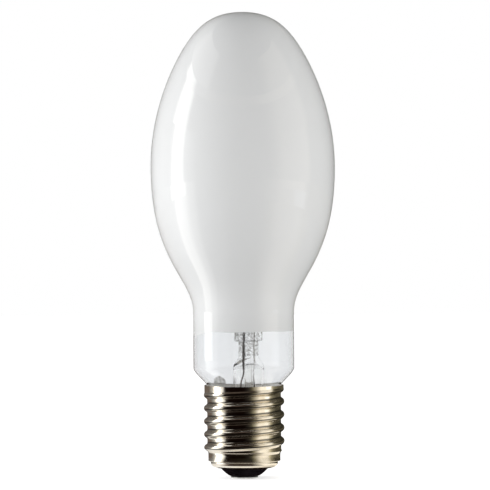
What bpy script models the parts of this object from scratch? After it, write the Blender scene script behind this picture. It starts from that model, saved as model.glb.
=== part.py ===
"""High pressure sodium lamp: a coated elliptical bulb on a 39 mm screw cap, standing on its end contact.

Metres, +Z up. The lamp's axis is +Z, and the origin is the middle of the end contact's underside.
"""

import math

import bmesh
import bpy
from mathutils import Matrix, Vector
from mathutils.geometry import interpolate_bezier

CLEARANCE = 0.0003  # left between pieces that touch, are fused or are soldered

# Screw cap: a thin rolled shell with a round-crested thread, from the contact's underside up
CAP_HEIGHT = 0.0450
CAP_WALL = 0.0004
THREAD_CREST_RADIUS = 0.0195
THREAD_CREST_ARC = 0.0017  # radius of the arc over a crest; the one in a root is tangent to it
THREAD_DEPTH = 0.00182
THREAD_PITCH = 0.00635
THREAD_CREST_HEIGHT = 0.01170  # of the lowest crest over +X; the thread rises anticlockwise from there
THREAD_TOP_DROP = 0.0016  # plain collar below the rim
THREAD_TOP_FADE = 0.0026  # over this height the first groove deepens
THREAD_FOOT_HEIGHT = 0.0112  # no crest below this
THREAD_FOOT_FADE = 0.0040
COLLAR_RADIUS = 0.0192
SHELL_FOOT_RADIUS = 0.01746  # of the plain band under the thread
SHELL_STEP_HEIGHT = 0.0084  # where the band ends and the shell steps in to its heel
SHELL_HEEL_RADIUS = 0.0163
SHELL_CORNER_RADIUS = 0.0028
SHELL_LIP_HEIGHT = 0.0052
SHELL_LIP_RADIUS = 0.0123

# End of the cap
CONTACT_RADIUS = 0.00665
CONTACT_THICKNESS = 0.0009
CONTACT_EDGE_BEVEL = 0.0003
CONTACT_BORE_RADIUS = 0.0023
CONTACT_SHANK_WALL = 0.0005
CONTACT_SHANK_TOP = 0.0032
CONTACT_SOLDER_TOP = 0.0029
INSULATOR_FOOT_RADIUS = 0.0074
INSULATOR_RIM_HEIGHT = 0.0094
INSULATOR_RIM_WIDTH = 0.0016
INSULATOR_FLOOR_HEIGHT = 0.0066
INSULATOR_FLOOR_RADIUS = 0.0060

# Bulb glass. Its neck is placed from the cap's rim, its belly and dome from the arc tube inside.
BULB_RADIUS = 0.0446
WIDEST_RISE = 0.0024  # from the arc tube's middle up to the belly's widest place
DOME_HEADROOM = 0.0191  # from the frame's crossbar up to the top of the dome
DOME_FLAT = 0.01335  # how far the dome's flat top leads its curve outwards
DOME_HAUNCH_RADIUS = 0.02863
DOME_HAUNCH_DROP = 0.0178
DOME_HAUNCH_SLOPE = math.radians(59)
DOME_HAUNCH_LEAD = 0.0143
BELLY_UPPER_LEAD = 0.0326
BELLY_LOWER_LEAD = 0.0460
NECK_UPPER_LEAD = 0.0168
NECK_RADIUS = 0.0244
NECK_TOP_HEIGHT = 0.0352
NECK_FOOT_HEIGHT = 0.0085
NECK_FOOT_LEAD = 0.0030
SEAL_RADIUS = 0.0156
SEAL_TOP_DROP = 0.0042  # below the rim, where the glass is at its narrowest
SEAL_LEAD = 0.0040
SEAL_END_DROP = 0.0137  # below the rim, where the bulb's glass ends on the stem's flare
GLASS_WALL = 0.0010

# Diffusing coating inside the bulb, thicker than the real powder layer
COATING_EDGE_HEIGHT = 0.0263
COATING_THICKNESS = 0.0003

# Stem: flare, tube and pinched press, one piece of glass. Its tube stands beside the lamp's axis.
STEM_SHIFT = 0.0023
STEM_TUBE_RADIUS = 0.0075
STEM_WALL = 0.0010
FLARE_LENGTH = 0.0130
STEM_SHOULDER_HEIGHT = 0.0078  # where the tube starts to close in to the press
STEM_BORE_TOP_HEIGHT = 0.0105
PRESS_FOOT_HEIGHT = 0.0142
PRESS_STEP_HEIGHT = 0.0212
PRESS_TOP_HEIGHT = 0.0280
PRESS_HALF_WIDTH = 0.0065
PRESS_HALF_THICKNESS = 0.0024
PRESS_HEAD_HALF_WIDTH = 0.0092
PRESS_HEAD_HALF_THICKNESS = 0.0032
PRESS_SQUARENESS = 4  # power of the outline across the press, where a round one has 2
PRESS_AZIMUTH = math.radians(53)  # of the press's wide direction, from +X

# Leads
LEAD_SPACING = 0.0080
PIN_RADIUS = 0.0005
PIN_FOOT_HEIGHT = 0.0068
PIN_OUTSIDE = 0.0050  # above the top of the press
SHELL_LEAD_RADIUS = 0.00025
SHELL_LEAD_STANDOFF = 0.0004  # between the wire and the glass that it climbs beside
SHELL_LEAD_BEND = 0.0012
CONTACT_LEAD_RADIUS = 0.00035
CONTACT_LEAD_BEND = 0.0010
EXHAUST_RADIUS = 0.0024
EXHAUST_WALL = 0.0009
EXHAUST_END_HEIGHT = 0.0170

# Solder on the rim, over the end of the shell lead
RIM_SOLDER_AZIMUTH = math.radians(130)
RIM_SOLDER_HALF_WIDTH = 0.0042
RIM_SOLDER_REACH = 0.0019
RIM_SOLDER_RISE = 0.0030
RIM_SOLDER_DROP = 0.0002  # how far it runs down between the rim and the glass

# Cement between the glass and the cap
CEMENT_FOOT_DROP = 0.0120
CEMENT_TOP_DROP = 0.0005

# Arc tube, carried above the press by the frame
STRAP_RUN = 0.0138  # from the front pin's top up to the end of the lower niobium tube
ARC_TUBE_LENGTH = 0.0930
ARC_TUBE_RADIUS = 0.00445
ARC_TUBE_WALL = 0.0008
PLUG_DEPTH = 0.0040
PLUG_HEAD = 0.0012
NIOBIUM_RADIUS = 0.0016
NIOBIUM_WALL = 0.0004
NIOBIUM_OUTSIDE = 0.0085
ELECTRODE_SHANK_RADIUS = 0.0005
ELECTRODE_COIL_RADIUS = 0.0011
ELECTRODE_COIL_LENGTH = 0.0040
ELECTRODE_LENGTH = 0.0130

# Frame that carries the arc tube
ROD_RADIUS = 0.0010
ROD_OFFSET = 0.0140
ROD_BEND_RADIUS = 0.0030
ROD_FOOT_RUN = 0.0045  # straight above the pin
ROD_RISE = 0.0100  # height over which the rod leaves the pin for its own line
STRAP_WIDTH = 0.0030
STRAP_THICKNESS = 0.0004
STRAP_LAP = 0.0050
SPRING_REACH = 0.0220
SPRING_WIDTH = 0.0040
SPRING_SEAT = 0.0040
SPRING_LEADS = (0.6, 0.8)  # shares of the reach at which the spring's curve leaves its seat and meets its end
GETTER_RADIUS = 0.0040
GETTER_WIRE_RADIUS = 0.0009
GETTER_ARM_LENGTH = 0.0060
GETTER_ARM_RADIUS = 0.0004
GETTER_RISE = 0.0190  # above the pins' tops

ARC_PULL = 0.55  # how far a curve's handles lie towards a corner for it to follow an arc

# Facets
BULB_SEGMENTS = 32
OUTER_DETAIL = 1.0  # share of the outline's full number of points
INNER_DETAIL = 0.6
CAP_SEGMENTS = 25
CAP_END_SEGMENTS = 20
STEM_SEGMENTS = 16
STEM_SHOULDER_STEPS = 3
SMALL_SEGMENTS = 8
ROWS_PER_PITCH = 6

RIM = CAP_HEIGHT
THREAD_ROOT_RADIUS = THREAD_CREST_RADIUS - THREAD_DEPTH
SEAL_END = RIM - SEAL_END_DROP
PRESS_DIRECTION = Vector((math.cos(PRESS_AZIMUTH), math.sin(PRESS_AZIMUTH), 0))
STEM_AXIS = Vector((STEM_SHIFT, 0, 0))
FRONT_PIN = STEM_AXIS - PRESS_DIRECTION * LEAD_SPACING / 2
BACK_PIN = STEM_AXIS + PRESS_DIRECTION * LEAD_SPACING / 2
PIN_TOP = RIM + PRESS_TOP_HEIGHT + PIN_OUTSIDE
LOWER_NIOBIUM_END = PIN_TOP + STRAP_RUN
ARC_TUBE_FOOT = LOWER_NIOBIUM_END + NIOBIUM_OUTSIDE + PLUG_HEAD
ARC_TUBE_TOP = ARC_TUBE_FOOT + ARC_TUBE_LENGTH
UPPER_NIOBIUM_END = ARC_TUBE_TOP + PLUG_HEAD + NIOBIUM_OUTSIDE
CROSSBAR_HEIGHT = UPPER_NIOBIUM_END + CLEARANCE + ROD_RADIUS
BULB_WIDEST = (ARC_TUBE_FOOT + ARC_TUBE_TOP) / 2 + WIDEST_RISE
BULB_TOP = CROSSBAR_HEIGHT + ROD_RADIUS + DOME_HEADROOM


# Scene and materials


def clear_scene():
    for obj in list(bpy.data.objects):
        bpy.data.objects.remove(obj)


def new_collection(name):
    collection = bpy.data.collections.new(name)
    bpy.context.scene.collection.children.link(collection)
    return collection


def material(name, colour, roughness, metallic=0.0, transmission=0.0, alpha=1.0):
    made = bpy.data.materials.new(name)
    made.use_nodes = True
    made.diffuse_color = (*colour, alpha)
    shader = made.node_tree.nodes["Principled BSDF"]
    shader.inputs["Base Color"].default_value = (*colour, 1.0)
    shader.inputs["Roughness"].default_value = roughness
    shader.inputs["Metallic"].default_value = metallic
    shader.inputs["Transmission Weight"].default_value = transmission
    shader.inputs["Alpha"].default_value = alpha
    return made


# Shapes


def add_object(name, data, look):
    obj = bpy.data.objects.new(name, data)
    obj.data.materials.append(look)
    PARTS.objects.link(obj)
    return obj


def turned(name, profile, segments, look):
    """A solid of revolution. The profile, as (radius, height), runs down its outer side and up its inner one."""
    mesh = bpy.data.meshes.new(name)
    points = [(radius, 0, height) for radius, height in profile]
    on_axis = profile[0][0] < 1e-7 and profile[-1][0] < 1e-7
    edges = [(i, i + 1) for i in range(len(points) - 1)]
    if not on_axis:
        edges.append((len(points) - 1, 0))
    mesh.from_pydata(points, edges, [])
    obj = add_object(name, mesh, look)
    screw = obj.modifiers.new("Turn", "SCREW")
    screw.steps = segments
    screw.render_steps = segments
    screw.use_merge_vertices = True
    screw.merge_threshold = 1e-6
    return obj


def wire(name, points, radius, look, sides=8):
    """A round wire or rod along the points."""
    curve = bpy.data.curves.new(name, "CURVE")
    curve.dimensions = "3D"
    curve.bevel_depth = radius
    curve.bevel_resolution = (sides - 4) // 2
    curve.use_fill_caps = True
    spline = curve.splines.new("POLY")
    spline.points.add(len(points) - 1)
    for target, point in zip(spline.points, points):
        target.co = (*point, 1)
    return add_object(name, curve, look)


def strip(name, route, thickness, width, look):
    """A flat strip bent along the route, given as (across, height), and as wide as said. Its face is across."""
    left = offset(route, thickness / 2)
    right = offset(route, -thickness / 2)
    curve = bpy.data.curves.new(name, "CURVE")
    curve.dimensions = "2D"
    curve.fill_mode = "BOTH"
    curve.extrude = width / 2
    spline = curve.splines.new("POLY")
    outline = left + right[::-1]
    spline.points.add(len(outline) - 1)
    for target, (across, height) in zip(spline.points, outline):
        target.co = (across, height, 0, 1)
    spline.use_cyclic_u = True
    obj = add_object(name, curve, look)
    obj.rotation_euler = (math.pi / 2, 0, 0)
    return obj


def offset(line, distance):
    """The line moved sideways, to the right of its direction."""
    moved = []
    for i, (x, y) in enumerate(line):
        normals = []
        for j in (i - 1, i):
            if 0 <= j < len(line) - 1:
                step = Vector((line[j + 1][0] - line[j][0], line[j + 1][1] - line[j][1])).normalized()
                normals.append(Vector((step.y, -step.x)))
        middle = sum(normals, Vector((0, 0))).normalized()
        reach = distance / middle.dot(normals[0])
        moved.append((x + middle.x * reach, y + middle.y * reach))
    return moved


def bezier(start, start_handle, end_handle, end, count):
    """The points along one cubic curve, count spans long."""
    controls = [Vector((*point, 0)) for point in (start, start_handle, end_handle, end)]
    return [(point.x, point.y) for point in interpolate_bezier(*controls, count + 1)]


def smooth(route, per_span):
    """Points on a smooth line through the route's own points."""
    route = [Vector(point) for point in route]
    slopes = [(after - before) / 2 for before, after in zip(route, route[2:])]
    slopes = [route[1] - route[0]] + slopes + [route[-1] - route[-2]]
    line = []
    for i in range(len(route) - 1):
        handles = (route[i], route[i] + slopes[i] / 3, route[i + 1] - slopes[i + 1] / 3, route[i + 1])
        line += interpolate_bezier(*handles, per_span + 1)[:-1]
    return line + [route[-1]]


def rounded(route, radius, steps):
    """The route with each of its corners replaced by an arc-like curve."""
    route = [Vector(point) for point in route]
    line = [route[0]]
    for before, corner, after in zip(route, route[1:], route[2:]):
        start = corner + (before - corner).normalized() * radius
        end = corner + (after - corner).normalized() * radius
        handles = (start, start.lerp(corner, ARC_PULL), end.lerp(corner, ARC_PULL), end)
        line += interpolate_bezier(*handles, steps + 1)
    return line + [route[-1]]


def cylinder_cutter(name, centre, radius, foot, top):
    mesh = bpy.data.meshes.new(name)
    shape = bmesh.new()
    bmesh.ops.create_cone(
        shape,
        cap_ends=True,
        segments=SMALL_SEGMENTS,
        radius1=radius,
        radius2=radius,
        depth=top - foot,
        matrix=Matrix.Translation((centre.x, centre.y, (foot + top) / 2)),
    )
    shape.to_mesh(mesh)
    shape.free()
    return add_cutter(name, mesh)


def add_cutter(name, mesh):
    cutter = bpy.data.objects.new(name, mesh)
    CUTTERS.objects.link(cutter)
    cutter.hide_render = True
    cutter.display_type = "WIRE"
    return cutter


def cut(obj, cutter):
    boolean = obj.modifiers.new(cutter.name, "BOOLEAN")
    boolean.operation = "DIFFERENCE"
    boolean.solver = "EXACT"
    boolean.object = cutter


# Outlines that several pieces share


def bulb_outline(detail):
    """The outer side of the bulb's glass from the top of the dome to its sealed end, as (radius, height)."""
    haunch = Vector((DOME_HAUNCH_RADIUS, BULB_TOP - DOME_HAUNCH_DROP))
    slope = Vector((math.cos(DOME_HAUNCH_SLOPE), -math.sin(DOME_HAUNCH_SLOPE)))
    widest = BULB_WIDEST
    neck_top = RIM + NECK_TOP_HEIGHT
    neck_foot = RIM + NECK_FOOT_HEIGHT
    seal_top = RIM - SEAL_TOP_DROP
    dome = bezier(
        (0, BULB_TOP),
        (DOME_FLAT, BULB_TOP),
        haunch - slope * DOME_HAUNCH_LEAD,
        haunch,
        round(5 * detail),
    )
    shoulder = bezier(
        haunch,
        haunch + slope * DOME_HAUNCH_LEAD / 10,
        (BULB_RADIUS, widest + BELLY_UPPER_LEAD),
        (BULB_RADIUS, widest),
        round(5 * detail),
    )
    belly = bezier(
        (BULB_RADIUS, widest),
        (BULB_RADIUS, widest - BELLY_LOWER_LEAD),
        (NECK_RADIUS, neck_top + NECK_UPPER_LEAD),
        (NECK_RADIUS, neck_top),
        round(8 * detail),
    )
    foot = bezier(
        (NECK_RADIUS, neck_foot),
        (NECK_RADIUS, neck_foot - NECK_FOOT_LEAD),
        (SEAL_RADIUS, seal_top + SEAL_LEAD),
        (SEAL_RADIUS, seal_top),
        round(6 * detail),
    )
    return dome[:-1] + shoulder[:-1] + belly + foot + [(SEAL_RADIUS, SEAL_END)]


def part_of(line, lowest, highest):
    """The stretch of a falling line between two heights, cut off level at both."""
    points = []
    for (r1, z1), (r2, z2) in zip(line, line[1:]):
        for height in (highest, lowest):
            if z2 < height < z1:
                points.append((r1 + (r2 - r1) * (z1 - height) / (z1 - z2), height))
        if lowest <= z2 <= highest:
            points.append((r2, z2))
    if lowest <= line[0][1] <= highest:
        points.insert(0, line[0])
    return points


# Screw cap


def thread_sink(rise):
    """How deep the thread's outline lies under its crest, at this height above one: two arcs, tangent."""
    half = THREAD_PITCH / 2
    both_arcs = (half**2 + THREAD_DEPTH**2) / (2 * THREAD_DEPTH)
    root_arc = both_arcs - THREAD_CREST_ARC
    from_crest = abs((rise + half) % THREAD_PITCH - half)
    if from_crest <= half * THREAD_CREST_ARC / both_arcs:
        return THREAD_CREST_ARC - math.sqrt(THREAD_CREST_ARC**2 - from_crest**2)
    return THREAD_DEPTH - root_arc + math.sqrt(root_arc**2 - (half - from_crest) ** 2)


def ease(share):
    share = min(max(share, 0), 1)
    return share * share * (3 - 2 * share)


def thread_radius(angle, height):
    """The shell's outer radius: plain collar, then the thread, then a plain band."""
    rise = height - THREAD_CREST_HEIGHT - THREAD_PITCH * angle / math.tau
    groove = ease((RIM - THREAD_TOP_DROP - height) / THREAD_TOP_FADE)
    crest = ease((height - THREAD_FOOT_HEIGHT) / THREAD_FOOT_FADE)
    threaded = THREAD_CREST_RADIUS - thread_sink(rise)
    upper = COLLAR_RADIUS + (threaded - COLLAR_RADIUS) * groove
    return SHELL_FOOT_RADIUS + (upper - SHELL_FOOT_RADIUS) * crest


def extrude_ring(shape, ring, points):
    """Carries an open ring of edges on along (radius, height) points."""
    for radius, height in points:
        grown = bmesh.ops.extrude_edge_only(shape, edges=ring)["geom"]
        for vert in (item for item in grown if isinstance(item, bmesh.types.BMVert)):
            flat = Vector((vert.co.x, vert.co.y, 0)).normalized() * radius
            vert.co = (flat.x, flat.y, height)
        ring = [item for item in grown if isinstance(item, bmesh.types.BMEdge)]


def open_ring(shape, height):
    return [
        edge
        for edge in shape.edges
        if edge.is_boundary and all(abs(vert.co.z - height) < 1e-6 for vert in edge.verts)
    ]


def cap_shell(look):
    """A tube with its rows along the thread's helix, pressed to the thread, then rolled in at its foot."""
    shape = bmesh.new()
    row = THREAD_PITCH / ROWS_PER_PITCH
    foot = THREAD_FOOT_HEIGHT
    top = RIM - THREAD_TOP_DROP
    lowest = THREAD_CREST_HEIGHT - row * math.ceil((THREAD_CREST_HEIGHT - foot + THREAD_PITCH) / row)
    rows = math.ceil((top - lowest) / row) + 2
    verts = [shape.verts.new((THREAD_CREST_RADIUS, 0, lowest + row * i)) for i in range(rows)]
    edges = [shape.edges.new(pair) for pair in zip(verts, verts[1:])]
    bmesh.ops.spin(
        shape,
        geom=verts + edges,
        axis=(0, 0, 1),
        dvec=(0, 0, THREAD_PITCH / CAP_SEGMENTS),
        angle=math.tau,
        steps=CAP_SEGMENTS,
    )
    bmesh.ops.remove_doubles(shape, verts=shape.verts, dist=1e-6)
    for height, side in ((foot, -1), (top, 1)):
        bmesh.ops.bisect_plane(
            shape,
            geom=shape.verts[:] + shape.edges[:] + shape.faces[:],
            dist=1e-7,
            plane_co=(0, 0, height),
            plane_no=(0, 0, side),
            clear_outer=True,
        )
    for vert in shape.verts:
        angle = math.atan2(vert.co.y, vert.co.x) % math.tau
        radius = thread_radius(angle, vert.co.z)
        vert.co.x = radius * math.cos(angle)
        vert.co.y = radius * math.sin(angle)
    corner = [
        (
            SHELL_HEEL_RADIUS - SHELL_CORNER_RADIUS * (1 - math.cos(turn)),
            SHELL_LIP_HEIGHT + SHELL_CORNER_RADIUS * (1 - math.sin(turn)),
        )
        for turn in (0, math.pi / 6, math.pi / 3, math.pi / 2)
    ]
    step = [(SHELL_FOOT_RADIUS, SHELL_STEP_HEIGHT)]
    extrude_ring(shape, open_ring(shape, foot), step + corner + [(SHELL_LIP_RADIUS, SHELL_LIP_HEIGHT)])
    extrude_ring(shape, open_ring(shape, top), [(COLLAR_RADIUS, RIM)])
    bmesh.ops.recalc_face_normals(shape, faces=shape.faces)
    mesh = bpy.data.meshes.new("cap_shell")
    shape.to_mesh(mesh)
    shape.free()
    mesh.shade_smooth()
    obj = add_object("cap_shell", mesh, look)
    wall = obj.modifiers.new("Wall", "SOLIDIFY")
    wall.thickness = CAP_WALL
    wall.offset = -1
    wall.use_even_offset = True
    return obj


def cap_insulator(look):
    """The moulded glass that fills the foot of the cap, with the cone that shows below the shell."""
    seat = CAP_WALL + CLEARANCE
    wide = SHELL_HEEL_RADIUS - seat
    corner = SHELL_CORNER_RADIUS - seat
    floor = SHELL_LIP_HEIGHT + seat
    arc = [
        (wide - corner * (1 - math.cos(turn)), floor + corner * (1 - math.sin(turn)))
        for turn in (0, math.pi / 4, math.pi / 2)
    ]
    neck = SHELL_LIP_RADIUS - CLEARANCE
    bore = CONTACT_BORE_RADIUS + CONTACT_SHANK_WALL + CLEARANCE
    underside = CONTACT_THICKNESS + CLEARANCE
    profile = [(wide, INSULATOR_RIM_HEIGHT)] + arc
    profile += [(neck, floor), (neck, SHELL_LIP_HEIGHT), (INSULATOR_FOOT_RADIUS, underside), (bore, underside)]
    profile += [(bore, INSULATOR_FLOOR_HEIGHT), (INSULATOR_FLOOR_RADIUS, INSULATOR_FLOOR_HEIGHT)]
    profile += [(wide - INSULATOR_RIM_WIDTH, INSULATOR_RIM_HEIGHT)]
    return turned("cap_insulator", profile, CAP_END_SEGMENTS, look)


def centre_contact(look):
    """A flat disc with a short shank, through which the lead is soldered."""
    bevel = CONTACT_EDGE_BEVEL
    shank = CONTACT_BORE_RADIUS + CONTACT_SHANK_WALL
    profile = [
        (shank, CONTACT_SHANK_TOP),
        (shank, CONTACT_THICKNESS),
        (CONTACT_RADIUS - bevel, CONTACT_THICKNESS),
        (CONTACT_RADIUS, CONTACT_THICKNESS - bevel),
        (CONTACT_RADIUS, bevel),
        (CONTACT_RADIUS - bevel, 0),
        (CONTACT_BORE_RADIUS, 0),
        (CONTACT_BORE_RADIUS, CONTACT_SHANK_TOP),
    ]
    return turned("centre_contact", profile, CAP_END_SEGMENTS, look)


def contact_solder(look):
    radius = CONTACT_BORE_RADIUS - CLEARANCE
    profile = [(0, CONTACT_SOLDER_TOP), (radius, CONTACT_SOLDER_TOP - radius / 4), (radius, 0), (0, 0)]
    return turned("contact_solder", profile, SMALL_SEGMENTS, look)


def glass_clear_of(distance):
    """The outside of the bulb's glass moved out by a distance, for what lies against it."""
    return [(radius, height) for radius, height in offset(bulb_outline(OUTER_DETAIL)[1:], -distance)]


def rim_solder(look):
    """A blob over the rim's edge that fills the corner between the rim and the glass."""
    shape = bmesh.new()
    bmesh.ops.create_uvsphere(shape, u_segments=10, v_segments=6, radius=1)
    mesh = bpy.data.meshes.new("rim_solder")
    shape.to_mesh(mesh)
    shape.free()
    obj = add_object("rim_solder", mesh, look)
    rise = RIM_SOLDER_RISE * 3 / 4
    mesh.transform(Matrix.Diagonal((RIM_SOLDER_REACH, RIM_SOLDER_HALF_WIDTH, rise, 1)))
    obj.rotation_euler = (0, 0, RIM_SOLDER_AZIMUTH)
    centre = COLLAR_RADIUS + CLEARANCE
    obj.location = (
        centre * math.cos(RIM_SOLDER_AZIMUTH),
        centre * math.sin(RIM_SOLDER_AZIMUTH),
        RIM + RIM_SOLDER_RISE - rise,
    )
    cut(obj, solder_room())
    return obj


def solder_room():
    """A turned cutter that holds the cap's collar and the bulb's glass, each with its clearance."""
    outside = COLLAR_RADIUS + CLEARANCE
    inside = COLLAR_RADIUS - CAP_WALL - CLEARANCE
    tongue = RIM - RIM_SOLDER_DROP
    above = part_of(glass_clear_of(CLEARANCE), tongue, RIM + 4 * RIM_SOLDER_RISE)
    profile = [(0, above[0][1])] + above
    profile += [(inside, tongue), (inside, RIM + CLEARANCE), (outside, RIM + CLEARANCE)]
    profile += [(outside, RIM - 2 * RIM_SOLDER_RISE), (0, RIM - 2 * RIM_SOLDER_RISE)]
    room = turned("solder_room", profile, CAP_END_SEGMENTS * 2, LOOKS["solder"])
    return to_cutter(room)


def to_cutter(obj):
    PARTS.objects.unlink(obj)
    CUTTERS.objects.link(obj)
    obj.hide_render = True
    obj.display_type = "WIRE"
    return obj


def basing_cement(look):
    """The ring of cement between the glass and the cap, with a slot where the shell lead climbs past it."""
    foot = RIM - CEMENT_FOOT_DROP
    top = RIM - CEMENT_TOP_DROP
    collar_foot = RIM - THREAD_TOP_DROP + CLEARANCE
    first_root = RIM - THREAD_TOP_DROP - THREAD_TOP_FADE
    thread_side = THREAD_ROOT_RADIUS - CAP_WALL - CLEARANCE
    collar_side = COLLAR_RADIUS - CAP_WALL - CLEARANCE
    glass_side = part_of(glass_clear_of(CLEARANCE), foot, top)
    profile = [(collar_side, top), (collar_side, collar_foot), (thread_side, first_root), (thread_side, foot)]
    obj = turned("basing_cement", profile + glass_side[::-1], CAP_END_SEGMENTS, look)
    shape = bmesh.new()
    bmesh.ops.create_cube(shape, size=1)
    mesh = bpy.data.meshes.new("lead_slot")
    shape.to_mesh(mesh)
    shape.free()
    slot = add_cutter("lead_slot", mesh)
    width = 2 * (SHELL_LEAD_RADIUS + 2 * CLEARANCE)
    mesh.transform(Matrix.Diagonal((THREAD_CREST_RADIUS, width, 2 * CEMENT_FOOT_DROP, 1)))
    mesh.transform(Matrix.Translation((THREAD_CREST_RADIUS, 0, RIM - CEMENT_FOOT_DROP)))
    slot.rotation_euler = (0, 0, RIM_SOLDER_AZIMUTH)
    cut(obj, slot)
    return obj


# Bulb


def outer_envelope(look):
    outside = bulb_outline(OUTER_DETAIL)
    inside = offset(bulb_outline(INNER_DETAIL)[1:], GLASS_WALL)
    inside[-1] = (inside[-1][0], SEAL_END)
    profile = outside + inside[::-1] + [(0, BULB_TOP - GLASS_WALL)]
    return turned("outer_envelope", profile, BULB_SEGMENTS, look)


def coating_side(depth):
    """One side of the coating, this far in from the outside of the glass, from the dome to the coating's edge."""
    line = offset(bulb_outline(INNER_DETAIL)[1:], depth)
    return [(0, BULB_TOP - depth)] + part_of(line, RIM + COATING_EDGE_HEIGHT, BULB_TOP)


def diffusing_coating(look):
    outside = coating_side(GLASS_WALL + CLEARANCE)
    inside = coating_side(GLASS_WALL + CLEARANCE + COATING_THICKNESS)
    return turned("diffusing_coating", outside + inside[::-1], BULB_SEGMENTS, look)


# Stem


def stem_centre(height):
    """The stem's middle, which moves from the lamp's axis at the flare to the tube's own axis."""
    return STEM_AXIS * ease((height - SEAL_END) / FLARE_LENGTH)


def stem_ring(shape, height, half_width, half_thickness, squareness):
    """One ring of the stem: round where squareness is 2 and the halves are equal."""
    across = Vector((-PRESS_DIRECTION.y, PRESS_DIRECTION.x, 0))
    centre = stem_centre(height)
    ring = []
    for i in range(STEM_SEGMENTS):
        angle = math.tau * (i + 0.5) / STEM_SEGMENTS
        wide = math.copysign(abs(math.cos(angle)) ** (2 / squareness), math.cos(angle))
        thin = math.copysign(abs(math.sin(angle)) ** (2 / squareness), math.sin(angle))
        point = centre + PRESS_DIRECTION * wide * half_width + across * thin * half_thickness
        ring.append(shape.verts.new((point.x, point.y, height)))
    return ring


def stem_sections():
    """(height, half width, half thickness, squareness), from inside the bore's top, down it and up the outside."""
    lip_top = SEAL_END - CLEARANCE
    lip_foot = lip_top - STEM_WALL
    neck_bore = SEAL_RADIUS - GLASS_WALL - 2 * CLEARANCE
    tube_foot = SEAL_END + FLARE_LENGTH
    shoulder_foot = RIM + STEM_SHOULDER_HEIGHT
    bore_top = RIM + STEM_BORE_TOP_HEIGHT
    bore = STEM_TUBE_RADIUS - STEM_WALL
    press_foot = RIM + PRESS_FOOT_HEIGHT
    press_step = RIM + PRESS_STEP_HEIGHT
    press_top = RIM + PRESS_TOP_HEIGHT
    flare = bezier(
        (STEM_TUBE_RADIUS, tube_foot),
        (STEM_TUBE_RADIUS, tube_foot - FLARE_LENGTH / 2),
        ((STEM_TUBE_RADIUS + neck_bore) / 2, lip_top),
        (neck_bore, lip_top),
        4,
    )
    lip = [(SEAL_RADIUS, lip_foot), (SEAL_RADIUS, lip_top)]
    rings = [(bore_top, bore / 2, bore / 2), (bore_top - bore / 3, bore, bore)]
    rings += [(height, radius, radius) for radius, height in offset(flare, STEM_WALL) + lip + flare[::-1]]
    sections = [(height, wide, thin, 2) for height, wide, thin in rings]
    for step in range(STEM_SHOULDER_STEPS + 1):
        rise = step / STEM_SHOULDER_STEPS
        share = ease(rise)
        sections.append((
            shoulder_foot + (press_foot - shoulder_foot) * rise,
            STEM_TUBE_RADIUS + (PRESS_HALF_WIDTH - STEM_TUBE_RADIUS) * share,
            STEM_TUBE_RADIUS + (PRESS_HALF_THICKNESS - STEM_TUBE_RADIUS) * share,
            2 + (PRESS_SQUARENESS - 2) * share,
        ))
    return sections + [
        (press_step - CLEARANCE, PRESS_HALF_WIDTH, PRESS_HALF_THICKNESS, PRESS_SQUARENESS),
        (press_step + CLEARANCE, PRESS_HEAD_HALF_WIDTH, PRESS_HEAD_HALF_THICKNESS, PRESS_SQUARENESS),
        (press_top, PRESS_HEAD_HALF_WIDTH, PRESS_HEAD_HALF_THICKNESS, PRESS_SQUARENESS),
    ]


def stem_glass(look):
    """Flare, tube and press as one loft, with a way through the press for each pin."""
    shape = bmesh.new()
    rings = [stem_ring(shape, *section) for section in stem_sections()]
    for ring, following in zip(rings, rings[1:]):
        for i in range(STEM_SEGMENTS):
            j = (i + 1) % STEM_SEGMENTS
            shape.faces.new((ring[i], ring[j], following[j], following[i]))
    shape.faces.new(rings[0])
    shape.faces.new(rings[-1])
    bmesh.ops.recalc_face_normals(shape, faces=shape.faces)
    mesh = bpy.data.meshes.new("stem_glass")
    shape.to_mesh(mesh)
    shape.free()
    obj = add_object("stem_glass", mesh, look)
    for name, pin in (("front_pin_way", FRONT_PIN), ("back_pin_way", BACK_PIN)):
        foot = RIM + PIN_FOOT_HEIGHT
        cut(obj, cylinder_cutter(name, pin, PIN_RADIUS + CLEARANCE, foot, PIN_TOP))
    return obj


def exhaust_tube(look):
    """The tube that the bulb was pumped through, fused under the press and melted shut at its lower end."""
    top = RIM + STEM_BORE_TOP_HEIGHT - CLEARANCE
    bore = EXHAUST_RADIUS - EXHAUST_WALL
    tip = EXHAUST_END_HEIGHT
    profile = [
        (EXHAUST_RADIUS, top),
        (EXHAUST_RADIUS, tip + 2 * EXHAUST_RADIUS),
        (EXHAUST_RADIUS / 2, tip),
        (0, tip),
        (0, tip + 2 * EXHAUST_RADIUS),
        (bore, tip + 3 * EXHAUST_RADIUS),
        (bore, top),
    ]
    obj = turned("exhaust_tube", profile, SMALL_SEGMENTS, look)
    obj.location = STEM_AXIS
    return obj


def seal_pin(name, pin, look):
    foot = RIM + PIN_FOOT_HEIGHT
    return wire(name, [(pin.x, pin.y, foot), (pin.x, pin.y, PIN_TOP)], PIN_RADIUS, look)


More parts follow.
